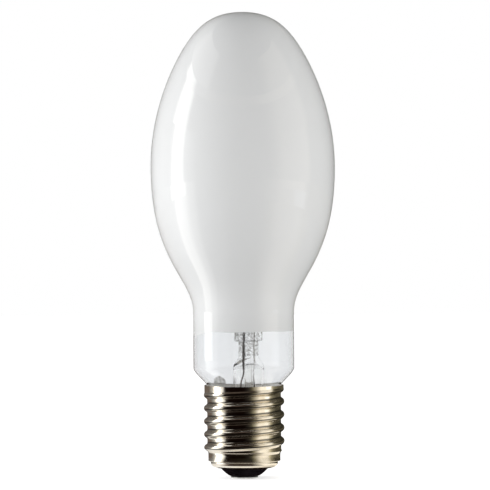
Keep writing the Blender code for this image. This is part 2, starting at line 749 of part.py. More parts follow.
def shell_lead(look):
    """From the front pin down the stem, out under the flare and up beside the glass to the rim."""
    start = FRONT_PIN + Vector((0, 0, RIM + PIN_FOOT_HEIGHT - CLEARANCE))
    out = Vector((math.cos(RIM_SOLDER_AZIMUTH), math.sin(RIM_SOLDER_AZIMUTH), 0))
    under = SEAL_END - STEM_WALL - 3 * CLEARANCE - 2 * SHELL_LEAD_RADIUS
    bend = SHELL_LEAD_BEND
    inside = [
        start,
        start + Vector((0, 0, -bend)),
        start + Vector((-bend, 0, -4 * bend)),
        start + Vector((-bend, -bend / 4, -8 * bend)),
        Vector((start.x - bend, start.y, under + 3 * bend)),
        Vector((start.x - 2 * bend, start.y + 2 * bend, under - bend)),
    ]
    end = RIM - RIM_SOLDER_DROP - CLEARANCE
    beside = part_of(glass_clear_of(SHELL_LEAD_STANDOFF + SHELL_LEAD_RADIUS), SEAL_END, end)
    climb = [out * radius + Vector((0, 0, height)) for radius, height in beside[::-1]]
    turn = [out * (beside[-1][0] - bend) + Vector((0, 0, under - bend)), out * beside[-1][0] + Vector((0, 0, under))]
    points = smooth(inside + turn + climb[:1], 2) + climb[1:]
    return wire("shell_lead", points, SHELL_LEAD_RADIUS, look, sides=6)


def contact_lead(look):
    """From the back pin down the stem and past the exhaust tube's tip to the middle of the contact."""
    start = BACK_PIN + Vector((0, 0, RIM + PIN_FOOT_HEIGHT - CLEARANCE))
    bend = CONTACT_LEAD_BEND
    route = [
        start,
        start + Vector((0, 0, -2 * bend)),
        start + Vector((bend / 2, 0, (SEAL_END - start.z) / 2)),
        Vector((start.x, start.y, SEAL_END)),
        Vector((start.x, start.y, EXHAUST_END_HEIGHT)),
        Vector((0, 0, INSULATOR_FLOOR_HEIGHT + 3 * bend)),
        Vector((0, 0, CONTACT_SOLDER_TOP + CLEARANCE)),
    ]
    return wire("contact_lead", smooth(route, 2), CONTACT_LEAD_RADIUS, look, sides=6)


# Arc tube


def arc_tube(look):
    bore = ARC_TUBE_RADIUS - ARC_TUBE_WALL
    profile = [
        (ARC_TUBE_RADIUS, ARC_TUBE_TOP),
        (ARC_TUBE_RADIUS, ARC_TUBE_FOOT),
        (bore, ARC_TUBE_FOOT),
        (bore, ARC_TUBE_TOP),
    ]
    return turned("arc_tube", profile, SMALL_SEGMENTS, look)


def at_arc_tube_end(name, profile, upper, look):
    """A turned piece of one end of the arc tube, drawn with its height growing away from the tube's middle."""
    end = ARC_TUBE_TOP if upper else ARC_TUBE_FOOT
    side = 1 if upper else -1
    placed = [(radius, end + side * height) for radius, height in profile]
    return turned(name, placed if upper else placed[::-1], SMALL_SEGMENTS, look)


def end_plug(name, upper, look):
    """A stepped ceramic plug in the end of the tube, bored for the niobium tube."""
    head = ARC_TUBE_RADIUS
    body = ARC_TUBE_RADIUS - ARC_TUBE_WALL - CLEARANCE
    bore = NIOBIUM_RADIUS + CLEARANCE
    seat = CLEARANCE
    profile = [(head, PLUG_HEAD), (head, seat), (body, seat), (body, -PLUG_DEPTH), (bore, -PLUG_DEPTH), (bore, PLUG_HEAD)]
    return at_arc_tube_end(name, profile, upper, look)


def niobium_tube(name, upper, look):
    """The metal lead through the plug, closed outside and open towards the arc, where it holds the electrode."""
    bore = NIOBIUM_RADIUS - NIOBIUM_WALL
    outer = PLUG_HEAD + NIOBIUM_OUTSIDE
    foot = -PLUG_DEPTH
    floor = foot + 2 * ELECTRODE_COIL_RADIUS
    profile = [(0, outer), (NIOBIUM_RADIUS, outer), (NIOBIUM_RADIUS, foot), (bore, foot), (bore, floor), (0, floor)]
    return at_arc_tube_end(name, profile, upper, look)


def electrode(name, upper, look):
    """A tungsten shank with its wound coil, as one turned shape."""
    start = -PLUG_DEPTH + 2 * ELECTRODE_COIL_RADIUS - CLEARANCE
    tip = start - ELECTRODE_LENGTH
    coil_top = tip + ELECTRODE_COIL_LENGTH + ELECTRODE_SHANK_RADIUS
    coil_foot = tip + ELECTRODE_SHANK_RADIUS
    shank = ELECTRODE_SHANK_RADIUS
    profile = [
        (0, start),
        (shank, start),
        (shank, coil_top),
        (ELECTRODE_COIL_RADIUS, coil_top),
        (ELECTRODE_COIL_RADIUS, coil_foot),
        (shank, coil_foot),
        (shank, tip),
        (0, tip),
    ]
    return at_arc_tube_end(name, profile, upper, look)


# Frame


def rod_line():
    """Y of the rod's own plane: its front is flush with the front of the niobium tubes."""
    return ROD_RADIUS - NIOBIUM_RADIUS


def frame_rod(look):
    """From the back pin out to its own line, up beside the arc tube and over its top."""
    foot = PIN_TOP + CLEARANCE
    y = rod_line()
    corners = [
        (BACK_PIN.x, BACK_PIN.y, foot),
        (BACK_PIN.x, BACK_PIN.y, foot + ROD_FOOT_RUN),
        (ROD_OFFSET, y, foot + ROD_FOOT_RUN + ROD_RISE),
        (ROD_OFFSET, y, CROSSBAR_HEIGHT),
        (-SPRING_SEAT, y, CROSSBAR_HEIGHT),
    ]
    return wire("frame_rod", rounded(corners, ROD_BEND_RADIUS, 2), ROD_RADIUS, look)


def lower_strap(look):
    """The strip from the front pin to the lower niobium tube."""
    thick = STRAP_THICKNESS
    pin_side = FRONT_PIN.y - PIN_RADIUS - CLEARANCE - thick / 2
    tube_side = -NIOBIUM_RADIUS - CLEARANCE - thick / 2
    route = [
        (pin_side, PIN_TOP - STRAP_LAP),
        (pin_side, PIN_TOP),
        (tube_side, LOWER_NIOBIUM_END),
        (tube_side, LOWER_NIOBIUM_END + STRAP_LAP),
    ]
    obj = strip("lower_strap", route, thick, STRAP_WIDTH, look)
    obj.rotation_euler = (math.pi / 2, 0, math.pi / 2)
    return obj


def upper_strap(look):
    """The strip from the crossbar down to the upper niobium tube."""
    side = -NIOBIUM_RADIUS - CLEARANCE - STRAP_THICKNESS / 2
    route = [(side, UPPER_NIOBIUM_END - STRAP_LAP), (side, CROSSBAR_HEIGHT + ROD_RADIUS)]
    obj = strip("upper_strap", route, STRAP_THICKNESS, STRAP_WIDTH, look)
    obj.rotation_euler = (math.pi / 2, 0, math.pi / 2)
    return obj


def dome_spring(look):
    """A leaf spring across the top of the frame whose ends bear on the inside of the dome."""
    seat = CROSSBAR_HEIGHT + ROD_RADIUS + CLEARANCE + STRAP_THICKNESS / 2
    lining = coating_side(GLASS_WALL + CLEARANCE + COATING_THICKNESS)
    bearing = GLASS_WALL + 3 * CLEARANCE + COATING_THICKNESS + STRAP_THICKNESS
    reach = SPRING_REACH
    ceiling = height_at(lining, reach) - bearing
    leads = [reach * share for share in SPRING_LEADS]
    half = bezier((SPRING_SEAT, seat), (leads[0], seat), (leads[1], ceiling), (reach, ceiling), 4)
    left = [(-across, height) for across, height in half[::-1]]
    obj = strip("dome_spring", left + half, STRAP_THICKNESS, SPRING_WIDTH, look)
    obj.location = (0, rod_line(), 0)
    return obj


def height_at(line, radius):
    """The height at which a widening line first reaches a radius."""
    for (r1, z1), (r2, z2) in zip(line, line[1:]):
        if r1 <= radius <= r2:
            return z1 + (z2 - z1) * (radius - r1) / (r2 - r1)
    return line[-1][1]


def getter(ring_look, arm_look):
    """A small ring of getter on an arm from the rod."""
    height = PIN_TOP + GETTER_RISE
    y = rod_line()
    near = y - ROD_RADIUS - CLEARANCE
    far = near - GETTER_ARM_LENGTH
    wire("getter_arm", [(ROD_OFFSET, near, height), (ROD_OFFSET, far, height)], GETTER_ARM_RADIUS, arm_look, sides=6)
    bpy.ops.mesh.primitive_torus_add(
        major_radius=GETTER_RADIUS,
        minor_radius=GETTER_WIRE_RADIUS,
        major_segments=12,
        minor_segments=4,
        location=(ROD_OFFSET, far - CLEARANCE - GETTER_WIRE_RADIUS - GETTER_RADIUS, height),
    )
    ring = bpy.context.active_object
    for collection in list(ring.users_collection):
        collection.objects.unlink(ring)
    PARTS.objects.link(ring)
    ring.name = "getter_ring"
    ring.data.materials.append(ring_look)


clear_scene()
PARTS = new_collection("high_pressure_sodium_lamp")
CUTTERS = new_collection("cutters")
LOOKS = {
    "glass": material("clear_glass", (0.95, 0.97, 1.0), 0.02, transmission=1.0, alpha=0.3),
    "coating": material("white_coating", (0.93, 0.94, 0.93), 0.6),
    "nickel": material("nickel_plate", (0.72, 0.68, 0.60), 0.22, metallic=1.0),
    "black_glass": material("black_glass", (0.01, 0.01, 0.012), 0.08),
    "contact": material("tinned_contact", (0.72, 0.72, 0.70), 0.35, metallic=1.0),
    "solder": material("solder", (0.60, 0.60, 0.60), 0.4, metallic=1.0),
    "copper": material("copper_wire", (0.70, 0.36, 0.22), 0.35, metallic=1.0),
    "dark_wire": material("oxidised_wire", (0.16, 0.14, 0.13), 0.45, metallic=1.0),
    "steel": material("frame_steel", (0.55, 0.54, 0.52), 0.3, metallic=1.0),
    "alumina": material("sintered_alumina", (0.92, 0.90, 0.86), 0.4),
    "niobium": material("niobium", (0.48, 0.47, 0.46), 0.4, metallic=1.0),
    "tungsten": material("tungsten", (0.35, 0.35, 0.36), 0.5, metallic=1.0),
    "cement": material("basing_cement", (0.60, 0.52, 0.42), 0.9),
}

outer_envelope(LOOKS["glass"])
diffusing_coating(LOOKS["coating"])
stem_glass(LOOKS["glass"])
exhaust_tube(LOOKS["glass"])
seal_pin("front_seal_pin", FRONT_PIN, LOOKS["dark_wire"])
seal_pin("back_seal_pin", BACK_PIN, LOOKS["dark_wire"])
shell_lead(LOOKS["copper"])
contact_lead(LOOKS["copper"])
cap_shell(LOOKS["nickel"])
cap_insulator(LOOKS["black_glass"])
centre_contact(LOOKS["contact"])
contact_solder(LOOKS["solder"])
rim_solder(LOOKS["solder"])
basing_cement(LOOKS["cement"])
arc_tube(LOOKS["alumina"])
for place, is_upper in (("lower", False), ("upper", True)):
    end_plug(place + "_end_plug", is_upper, LOOKS["alumina"])
    niobium_tube(place + "_niobium_tube", is_upper, LOOKS["niobium"])
    electrode(place + "_electrode", is_upper, LOOKS["tungsten"])
frame_rod(LOOKS["steel"])
lower_strap(LOOKS["steel"])
upper_strap(LOOKS["steel"])
dome_spring(LOOKS["steel"])
getter(LOOKS["steel"], LOOKS["steel"])
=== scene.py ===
import math

import bpy
from mathutils import Matrix, Vector, noise
from mathutils.geometry import interpolate_bezier


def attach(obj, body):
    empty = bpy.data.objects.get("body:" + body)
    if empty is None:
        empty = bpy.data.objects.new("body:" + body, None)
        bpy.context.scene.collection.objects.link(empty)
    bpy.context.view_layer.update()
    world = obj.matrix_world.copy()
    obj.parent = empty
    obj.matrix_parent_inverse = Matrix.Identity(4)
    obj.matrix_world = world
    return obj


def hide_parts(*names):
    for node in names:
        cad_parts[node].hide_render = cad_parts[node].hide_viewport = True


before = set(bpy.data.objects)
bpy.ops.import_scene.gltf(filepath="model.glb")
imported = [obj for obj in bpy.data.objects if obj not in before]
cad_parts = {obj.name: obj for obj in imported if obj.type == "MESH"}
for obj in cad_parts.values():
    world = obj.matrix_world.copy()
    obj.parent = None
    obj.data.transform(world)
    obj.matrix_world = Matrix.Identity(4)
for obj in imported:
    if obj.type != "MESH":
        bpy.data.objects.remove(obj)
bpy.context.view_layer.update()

# Sizes in metres, upwards from the contact's underside. Those that the part has too are the same, except for
# the thread's fades and the cement's top.
CLEARANCE = 0.0003
POLE = 1e-7  # a profile's point this close to the axis is on it
RIM = 0.0450

# Screw shell
CAP_WALL = 0.0004
CREST_RADIUS = 0.0195
THREAD_CREST_ARC = 0.0017
THREAD_DEPTH = 0.00182
THREAD_PITCH = 0.00635
THREAD_CREST_HEIGHT = 0.01170  # of the lowest crest over +X
ROOT_RADIUS = CREST_RADIUS - THREAD_DEPTH
THREAD_TOP_DROP = 0.0004
THREAD_TOP_FADE = 0.0036
THREAD_LAST_TURN = 4.45  # above the lowest crest, where the groove has died away
THREAD_LAST_FADE = 0.35  # the share of a turn over which it does so
THREAD_FOOT_HEIGHT = 0.0118
THREAD_FOOT_FADE = 0.0030
# Painted shade: dark lines painted along the thread's grooves, standing in for their shade and dark
# reflections.
SHADE_LINE_UNDER_CREST = 0.895  # shares of a pitch above the crest below
SHADE_LINE_UNDER_ROOT = 0.385
SHADE_LINE_WIDTH = 0.09
SHADE_LINE_LEVEL = 0.025
SHADE_LINE_FOOT = THREAD_FOOT_HEIGHT + 0.0018
FOOT_STEP_HEIGHT = 0.0127
FOOT_STEP_RISE = 0.0006
FOOT_STEP_WIDTH = 0.00042
COLLAR_RADIUS = 0.0192
SHELL_FOOT_RADIUS = 0.01746
SHELL_STEP_HEIGHT = 0.0084
SHELL_STEP_EDGE = 0.0001  # how far the step's two edges are rounded over
SHELL_HEEL_RADIUS = 0.0163
SHELL_CORNER_RADIUS = 0.0028
SHELL_CORNER_FULLNESS = 0.08
SHELL_LIP_HEIGHT = 0.0052
SHELL_LIP_RADIUS = 0.0123
SHELL_STEPS = 260  # facets to a turn
SHELL_OUTER_ROWS = 240
SHELL_INNER_ROWS = 40

# End of the cap
EDGE_ROUND = 0.0003  # how far the edges of the glass and the contact are rounded over
CHAMFER = 0.0002
CONTACT_RADIUS = 0.00665
CONTACT_THICKNESS = 0.0009
CONTACT_BORE_RADIUS = 0.0023
CONTACT_SHANK_WALL = 0.0005
CONTACT_SHANK_TOP = 0.0032
CONTACT_SOLDER_TOP = 0.0029
INSULATOR_FOOT_RADIUS = 0.0074
INSULATOR_RIM_HEIGHT = 0.0094
INSULATOR_RIM_WIDTH = 0.0016
INSULATOR_FLOOR_HEIGHT = 0.0066
INSULATOR_FLOOR_RADIUS = 0.0060
INSULATOR_FLOOR_RUN = 0.0008
INSULATOR_SIDE_SWELL = 0.00010
END_STEPS = 96

# Bulb glass
BULB_TOP = RIM + 0.1806
BULB_RADIUS = 0.0446
WIDEST_HEIGHT = RIM + 0.1054
DOME_FLAT = 0.01335
DOME_HAUNCH_RADIUS = 0.02863
DOME_HAUNCH_HEIGHT = RIM + 0.1628
DOME_HAUNCH_SLOPE = math.radians(59)
DOME_HAUNCH_LEAD = 0.0143
BELLY_HAUNCH_LEAD = 0.00143
BELLY_UPPER_LEAD = 0.0326
BELLY_LOWER_LEAD = 0.0460
NECK_UPPER_LEAD = 0.0168
NECK_RADIUS = 0.0244
NECK_TOP = RIM + 0.0352
NECK_STEP = 0.0044  # between the neck's rows of points
NECK_FOOT = RIM + 0.0085
NECK_FOOT_LEAD = 0.0030
SEAL_RADIUS = 0.0156
SEAL_TOP = RIM - 0.0042
SEAL_LEAD = 0.0040
SEAL_END = RIM - 0.0137
GLASS_WALL = 0.0010
BULB_STEPS = 144

# Powder coating
COATING_THICKNESS = 0.0003
COATING_GRIP = 0.00005  # how far the powder lies in the glass, so that no air shows between them
COATING_EDGE = RIM + 0.0263
COATING_SHADE_TOP = RIM + 0.0420  # the powder's colour is painted darker from here down to its edge, as shade
COATING_EDGE_SHADE = 0.92
EDGE_DIP = 0.0021  # how far its edge hangs lower on the left
EDGE_DIP_ANGLE = math.radians(195)
EDGE_DIP_HALF_SPAN = math.radians(42)
EDGE_RIPPLES = ((0.00012, 5, 1), (0.00008, 11, 0))  # (height, waves to a turn, start)
EDGE_REACH = 0.012  # how far up the coating follows its uneven edge

# Stem
STEM_SHIFT = 0.0023
STEM_TUBE_RADIUS = 0.0075
STEM_WALL = 0.0010
FLARE_LENGTH = 0.0130
STEM_SHOULDER = RIM + 0.0078
SHOULDER_BLEND = 0.0010  # below the shoulder, where the tube's look turns to the press's
BORE_TOP = RIM + 0.0105
SPECKS_FOOT = BORE_TOP + 0.0015
PRESS_FOOT = RIM + 0.0142
PRESS_STEP = RIM + 0.0212
PRESS_TOP = RIM + 0.0280
PRESS_HALF_WIDTH = 0.0065
PRESS_HALF_THICKNESS = 0.0024
PRESS_HEAD_HALF_WIDTH = 0.0092
PRESS_HEAD_HALF_THICKNESS = 0.0032
PRESS_SQUARENESS = 4
PRESS_EDGE_ROUND = 0.0006
CRINKLE_DEPTH = 0.00028
CRINKLE_INSET = 0.00018
TUBE_IOR = 1.42
PRESS_IOR = 1.08  # the press is seen as speckles, not as a dark lens
PRESS_AZIMUTH = math.radians(53)
STEM_STEPS = 88
EXHAUST_RADIUS = 0.0024
EXHAUST_WALL = 0.0009
EXHAUST_END = 0.0170

# Leads
LEAD_SPACING = 0.0080
PIN_RADIUS = 0.0005
PIN_FOOT = RIM + 0.0068
PIN_TOP = RIM + 0.0330
PIN_STEPS = 30
SHELL_LEAD_RADIUS = 0.00025
SHELL_LEAD_STANDOFF = 0.0004
SHELL_LEAD_BEND = 0.0012
SHELL_LEAD_END = RIM - 0.0002 - CLEARANCE
SHELL_LEAD_LOOK_RADIUS = 0.00036  # with its oxide, as thick as the photograph shows it
CONTACT_LEAD_RADIUS = 0.00035
CONTACT_LEAD_BEND = 0.0010
WIRE_SIDES = 14
WIRE_END_SHARE = 0.55  # the radius at a wire's very end
WIRE_END_ROUND = 0.35  # how far from its end a wire is full, in radii

# Solder on the rim, and cement
SOLDER_AZIMUTH = math.radians(130)
SOLDER_HALF_WIDTH = 0.0042
SOLDER_REACH = 0.0019
SOLDER_RISE = 0.0030
SOLDER_HALF_RISE = SOLDER_RISE * 3 / 4
SOLDER_LUMP = 0.10
CEMENT_FOOT = RIM - 0.0120
CEMENT_TOP = RIM - 0.0001
CEMENT_COLLAR_FOOT = RIM - 0.0013
CEMENT_FIRST_ROOT = RIM - 0.0042
CEMENT_CRUMBLE = 0.0002

PRESS_DIRECTION = Vector((math.cos(PRESS_AZIMUTH), math.sin(PRESS_AZIMUTH), 0))
ACROSS_PRESS = Vector((-PRESS_DIRECTION.y, PRESS_DIRECTION.x, 0))
STEM_AXIS = Vector((STEM_SHIFT, 0, 0))
FRONT_PIN = STEM_AXIS - PRESS_DIRECTION * LEAD_SPACING / 2
BACK_PIN = STEM_AXIS + PRESS_DIRECTION * LEAD_SPACING / 2


# Material helpers


def new_material(name, colour, roughness, metallic=0.0, **settings):
    made = bpy.data.materials.new(name)
    made.use_nodes = True
    shader = made.node_tree.nodes["Principled BSDF"]
    shader.inputs["Base Color"].default_value = (*colour, 1)
    shader.inputs["Roughness"].default_value = roughness
    shader.inputs["Metallic"].default_value = metallic
    for key, value in settings.items():
        shader.inputs[key.replace("_", " ")].default_value = value
    return made


def node(made, kind, **settings):
    built = made.node_tree.nodes.new("ShaderNode" + kind)
    for key, value in settings.items():
        setattr(built, key, value)
    return built


def link(made, source, target):
    made.node_tree.links.new(source, target)


def shader_of(made):
    return made.node_tree.nodes["Principled BSDF"]


def place(made, stretch=(1, 1, 1)):
    """The point's place on the object, stretched along each axis."""
    spot = node(made, "TexCoord")
    mapping = node(made, "Mapping")
    mapping.inputs["Scale"].default_value = stretch
    link(made, spot.outputs["Object"], mapping.inputs["Vector"])
    return mapping.outputs["Vector"]


def noise_of(made, scale, detail=4.0, stretch=(1, 1, 1), rough=0.5):
    grain = node(made, "TexNoise")
    grain.inputs["Scale"].default_value = scale
    grain.inputs["Detail"].default_value = detail
    grain.inputs["Roughness"].default_value = rough
    link(made, place(made, stretch), grain.inputs["Vector"])
    return grain.outputs["Fac"]


def ramp_of(made, source, *stops):
    """A colour ramp over a value. Each stop is (place, colour or grey)."""
    ramp = node(made, "ValToRGB")
    elements = ramp.color_ramp.elements
    while len(elements) < len(stops):
        elements.new(0.5)
    for element, (at, colour) in zip(elements, stops):
        element.position = at
        shade = colour if isinstance(colour, tuple) else (colour,) * 3
        element.color = (*shade, 1)
    link(made, source, ramp.inputs["Fac"])
    return ramp.outputs["Color"]


def colour_by(made, source, *stops):
    link(made, ramp_of(made, source, *stops), shader_of(made).inputs["Base Color"])


def roughness_by(made, source, lowest, highest):
    link(made, ranged(made, source, lowest, highest), shader_of(made).inputs["Roughness"])


def ranged(made, source, lowest, highest, start=0.3, end=0.7):
    span = node(made, "MapRange")
    for name, value in (("From Min", start), ("From Max", end), ("To Min", lowest), ("To Max", highest)):
        span.inputs[name].default_value = value
    link(made, source, span.inputs["Value"])
    return span.outputs["Result"]


def bump_by(made, *layers):
    """Bump from several heights, each (source, depth in metres)."""
    normal = None
    for source, depth in layers:
        bump = node(made, "Bump")
        bump.inputs["Strength"].default_value = 1.0
        bump.inputs["Distance"].default_value = depth
        link(made, source, bump.inputs["Height"])
        if normal is not None:
            link(made, normal, bump.inputs["Normal"])
        normal = bump.outputs["Normal"]
    link(made, normal, shader_of(made).inputs["Normal"])


def maths(made, operation, first, second=0):
    sum_node = node(made, "Math", operation=operation)
    for socket, value in zip(sum_node.inputs, (first, second)):
        if isinstance(value, (int, float)):
            socket.default_value = value
        else:
            link(made, value, socket)
    return sum_node.outputs["Value"]


def tinted(made, colour, tint):
    """The base colour is one colour times another."""
    mix = node(made, "Mix", data_type="RGBA", blend_type="MULTIPLY")
    mix.inputs["Factor"].default_value = 1.0
    link(made, colour, mix.inputs["A"])
    link(made, tint, mix.inputs["B"])
    link(made, mix.outputs["Result"], shader_of(made).inputs["Base Color"])


def split_place(made):
    """The point's place on the object, as outputs X, Y and Z."""
    split = node(made, "SeparateXYZ")
    link(made, place(made), split.inputs["Vector"])
    return split.outputs


def let_lamps_through(made):
    """Rays from lamps and bounced light pass the glass straight and reach what is behind it."""
    output = made.node_tree.nodes["Material Output"]
    path = node(made, "LightPath")
    clear = node(made, "BsdfTransparent")
    mix = node(made, "MixShader")
    through = maths(made, "MAXIMUM", path.outputs["Is Shadow Ray"], path.outputs["Is Diffuse Ray"])
    link(made, through, mix.inputs["Fac"])
    link(made, shader_of(made).outputs["BSDF"], mix.inputs[1])
    link(made, clear.outputs["BSDF"], mix.inputs[2])
    link(made, mix.outputs["Shader"], output.inputs["Surface"])


# Materials


def bulb_glass_look():
    made = new_material("blown_glass", (0.862, 0.872, 0.882), 0.0, IOR=1.5, Transmission_Weight=1.0)
    bump_by(made, (noise_of(made, 30, 1.0, (1, 1, 0.35)), 0.00012))
    let_lamps_through(made)
    return made


def coating_look():
    made = new_material("powder_coating", (0.90, 0.905, 0.90), 0.85, Specular_IOR_Level=0.2)
    cloud = noise_of(made, 14, 3.0, (1, 1, 0.5))
    clouded = ramp_of(made, cloud, (0.3, (0.880, 0.884, 0.880)), (0.7, (0.905, 0.910, 0.906)))
    # Painted shade: the powder's colour darker towards its lower edge.
    height = split_place(made)["Z"]
    tinted(made, clouded, ranged(made, height, COATING_EDGE_SHADE, 1.0, COATING_EDGE, COATING_SHADE_TOP))
    bump_by(made, (noise_of(made, 2600, 2.0), 0.00001))
    return made


def stem_glass_look():
    """Clear glass: a smooth tube below, and above it a crinkled, speckled press."""
    made = new_material("stem_glass", (0.985, 0.990, 0.985), 0.0, IOR=TUBE_IOR, Transmission_Weight=1.0)
    height = split_place(made)["Z"]
    pressed = ranged(made, height, 0.0, 1.0, SPECKS_FOOT, PRESS_FOOT)
    ior = ranged(made, height, TUBE_IOR, PRESS_IOR, STEM_SHOULDER - SHOULDER_BLEND, STEM_SHOULDER)
    link(made, ior, shader_of(made).inputs["IOR"])
    crinkles = maths(made, "MULTIPLY", noise_of(made, 1100, 3.0), pressed)
    smooth_part = maths(made, "SUBTRACT", 1.0, pressed)
    specks = maths(made, "ADD", noise_of(made, 900, 2.0), smooth_part)
    colour_by(made, specks, (0.41, (0.34, 0.33, 0.31)), (0.49, (0.985, 0.985, 0.98)))
    bump_by(made, (noise_of(made, 90, 2.0, (1, 1, 0.4)), 0.00005), (crinkles, 0.0008))
    let_lamps_through(made)
    return made


def painted_crease_shade(made):
    """Painted shade: dark lines painted along the thread, one below each crest and one below each root, as
    far as it goes.
    """
    point = split_place(made)
    turn = maths(made, "DIVIDE", maths(made, "ARCTAN2", point["Y"], point["X"]), math.tau)
    climb = maths(made, "DIVIDE", maths(made, "SUBTRACT", point["Z"], THREAD_CREST_HEIGHT), THREAD_PITCH)
    share = maths(made, "FRACT", maths(made, "SUBTRACT", climb, turn))
    stops = [(0, 1.0)]
    for middle in (SHADE_LINE_UNDER_ROOT, SHADE_LINE_UNDER_CREST):
        stops += [(middle - SHADE_LINE_WIDTH, 1.0), (middle, SHADE_LINE_LEVEL), (middle + SHADE_LINE_WIDTH, 1.0)]
    shade_lines = ramp_of(made, share, *stops)
    turns = maths(made, "SUBTRACT", climb, share)
    past_top = ranged(made, turns, 0.0, 1.0, THREAD_LAST_TURN - THREAD_LAST_FADE, THREAD_LAST_TURN)
    past_foot = ranged(made, point["Z"], 1.0, 0.0, SHADE_LINE_FOOT, THREAD_FOOT_HEIGHT + THREAD_FOOT_FADE)
    plain = node(made, "Mix", data_type="RGBA")
    link(made, maths(made, "MAXIMUM", past_top, past_foot), plain.inputs["Factor"])
    link(made, shade_lines, plain.inputs["A"])
    plain.inputs["B"].default_value = (1, 1, 1, 1)
    return plain.outputs["Result"]


def nickel_look():
    made = new_material("nickel_plate", (0.80, 0.76, 0.68), 0.12, metallic=1.0)
    stain = noise_of(made, 160, 5.0, (1, 1, 1.6), 0.6)
    dull, middle, bright = (0.70, 0.64, 0.54), (0.80, 0.755, 0.67), (0.84, 0.81, 0.745)
    metal = ramp_of(made, stain, (0.30, dull), (0.50, middle), (0.72, bright))
    # The metal's colour times the painted shade lines along the thread.
    tinted(made, metal, painted_crease_shade(made))
    spun = noise_of(made, 40, 2.0, (1, 1, 70))
    roughness_by(made, noise_of(made, 420), 0.09, 0.15)
    bump_by(made, (spun, 0.0000003), (noise_of(made, 130, 1.0), 0.000008))
    return made


def black_glass_look():
    made = new_material("black_glass", (0.010, 0.009, 0.011), 0.10, IOR=1.52)
    swirl = noise_of(made, 90, stretch=(1, 1, 2.5))
    colour_by(made, swirl, (0.35, (0.006, 0.005, 0.007)), (0.75, (0.020, 0.016, 0.021)))
    roughness_by(made, noise_of(made, 700, 3.0), 0.05, 0.20)
    bump_by(made, (noise_of(made, 260, 3.0), 0.00003))
    return made


def tinned_look():
    made = new_material("tinned_contact", (0.70, 0.70, 0.68), 0.35, metallic=1.0)
    spot = noise_of(made, 600)
    colour_by(made, spot, (0.35, (0.55, 0.545, 0.53)), (0.65, (0.74, 0.74, 0.72)))
    roughness_by(made, noise_of(made, 1500), 0.26, 0.5)
    bump_by(made, (noise_of(made, 900, 3.0), 0.00002))
    return made


def solder_look():
    made = new_material("solder", (0.80, 0.79, 0.78), 0.45, metallic=0.1)
    spot = noise_of(made, 700)
    # Mottled solder grey, partly its own tone; its lightest stops are painted light, raised for the rim blob
    # that lies in shade behind the glass.
    colour_by(made, spot, (0.40, (0.38, 0.36, 0.34)), (0.58, (1.0, 0.99, 0.97)))
    roughness_by(made, noise_of(made, 1300), 0.25, 0.55)
    bump_by(made, (noise_of(made, 900), 0.00030))
    return made


def wire_look(name, dark, light, roughness):
    """Drawn wire: fine lines along it, with patches of oxide."""
    made = new_material(name, light, roughness, metallic=1.0)
    patches = noise_of(made, 700)
    colour_by(made, patches, (0.35, dark), (0.65, light))
    roughness_by(made, noise_of(made, 2200, 3.0, (1, 1, 0.08)), roughness * 0.75, roughness * 1.3)
    bump_by(made, (noise_of(made, 4200, 3.0, (1, 1, 0.04)), 0.00001))
    return made


def ceramic_look(name, dark, light, grain, depth):
    made = new_material(name, light, 0.6)
    colour_by(made, noise_of(made, grain / 4, 5.0), (0.35, dark), (0.65, light))
    roughness_by(made, noise_of(made, grain, 3.0), 0.5, 0.85)
    bump_by(made, (noise_of(made, grain, 5.0, rough=0.6), depth))
    return made


# Meshes


def add_object(name, data):
    obj = bpy.data.objects.new(name, data)
    bpy.context.scene.collection.objects.link(obj)
    return obj


def blend(start, end, share):
    return start + (end - start) * share


def ease(share):
    """A smooth rise from 0 to 1, and level before and after it."""
    share = min(max(share, 0), 1)
    return share * share * (3 - 2 * share)


def add_piece(name, verts, faces, look, sharp=40):
    mesh = bpy.data.meshes.new(name)
    mesh.from_pydata(verts, [], faces)
    mesh.validate()
    mesh.shade_smooth()
    mesh.set_sharp_from_angle(angle=math.radians(sharp))
    mesh.materials.append(look)
    obj = add_object(name, mesh)
    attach(obj, "root")
    return obj


def loft(rings, ends=True):
    """Verts and faces through rings of equal length. A ring of one point is a pole.

    With ends, the first and the last ring are closed.
    """
    verts, faces, starts = [], [], []
    for ring in rings:
        starts.append((len(verts), len(ring)))
        verts += [tuple(point) for point in ring]
    for (a, na), (b, nb) in zip(starts, starts[1:]):
        count = max(na, nb)
        for i in range(count):
            j = (i + 1) % count
            if na == 1:
                faces.append((a, b + j, b + i))
            elif nb == 1:
                faces.append((a + i, a + j, b))
            else:
                faces.append((a + i, a + j, b + j, b + i))
    if ends:
        count = len(rings[0])
        faces.append(tuple(range(count))[::-1])
        faces.append(tuple(range(len(verts) - count, len(verts))))
    return verts, faces


def turned(name, profile, steps, look, centre=(0, 0), warp=None, sharp=40):
    """A turned piece whose profile runs up its outer side.

    A profile that is off the axis at both ends is closed on itself.
    """
    rings = []
    for radius, height in profile:
        if radius < POLE:
            rings.append([(centre[0], centre[1], height)])
            continue
        ring = []
        for i in range(steps):
            angle = math.tau * i / steps
            r, z = warp(radius, height, angle) if warp else (radius, height)
            ring.append((centre[0] + r * math.cos(angle), centre[1] + r * math.sin(angle), z))
        rings.append(ring)
    verts, faces = loft(rings, ends=False)
    if profile[0][0] > POLE and profile[-1][0] > POLE:
        last = len(verts) - steps
        for i in range(steps):
            j = (i + 1) % steps
            faces.append((last + i, last + j, j, i))
    return add_piece(name, verts, faces, look, sharp)


def bezier(start, start_handle, end_handle, end, count):
    controls = [Vector((*point, 0)) for point in (start, start_handle, end_handle, end)]
    return [(point.x, point.y) for point in interpolate_bezier(*controls, count + 1)]


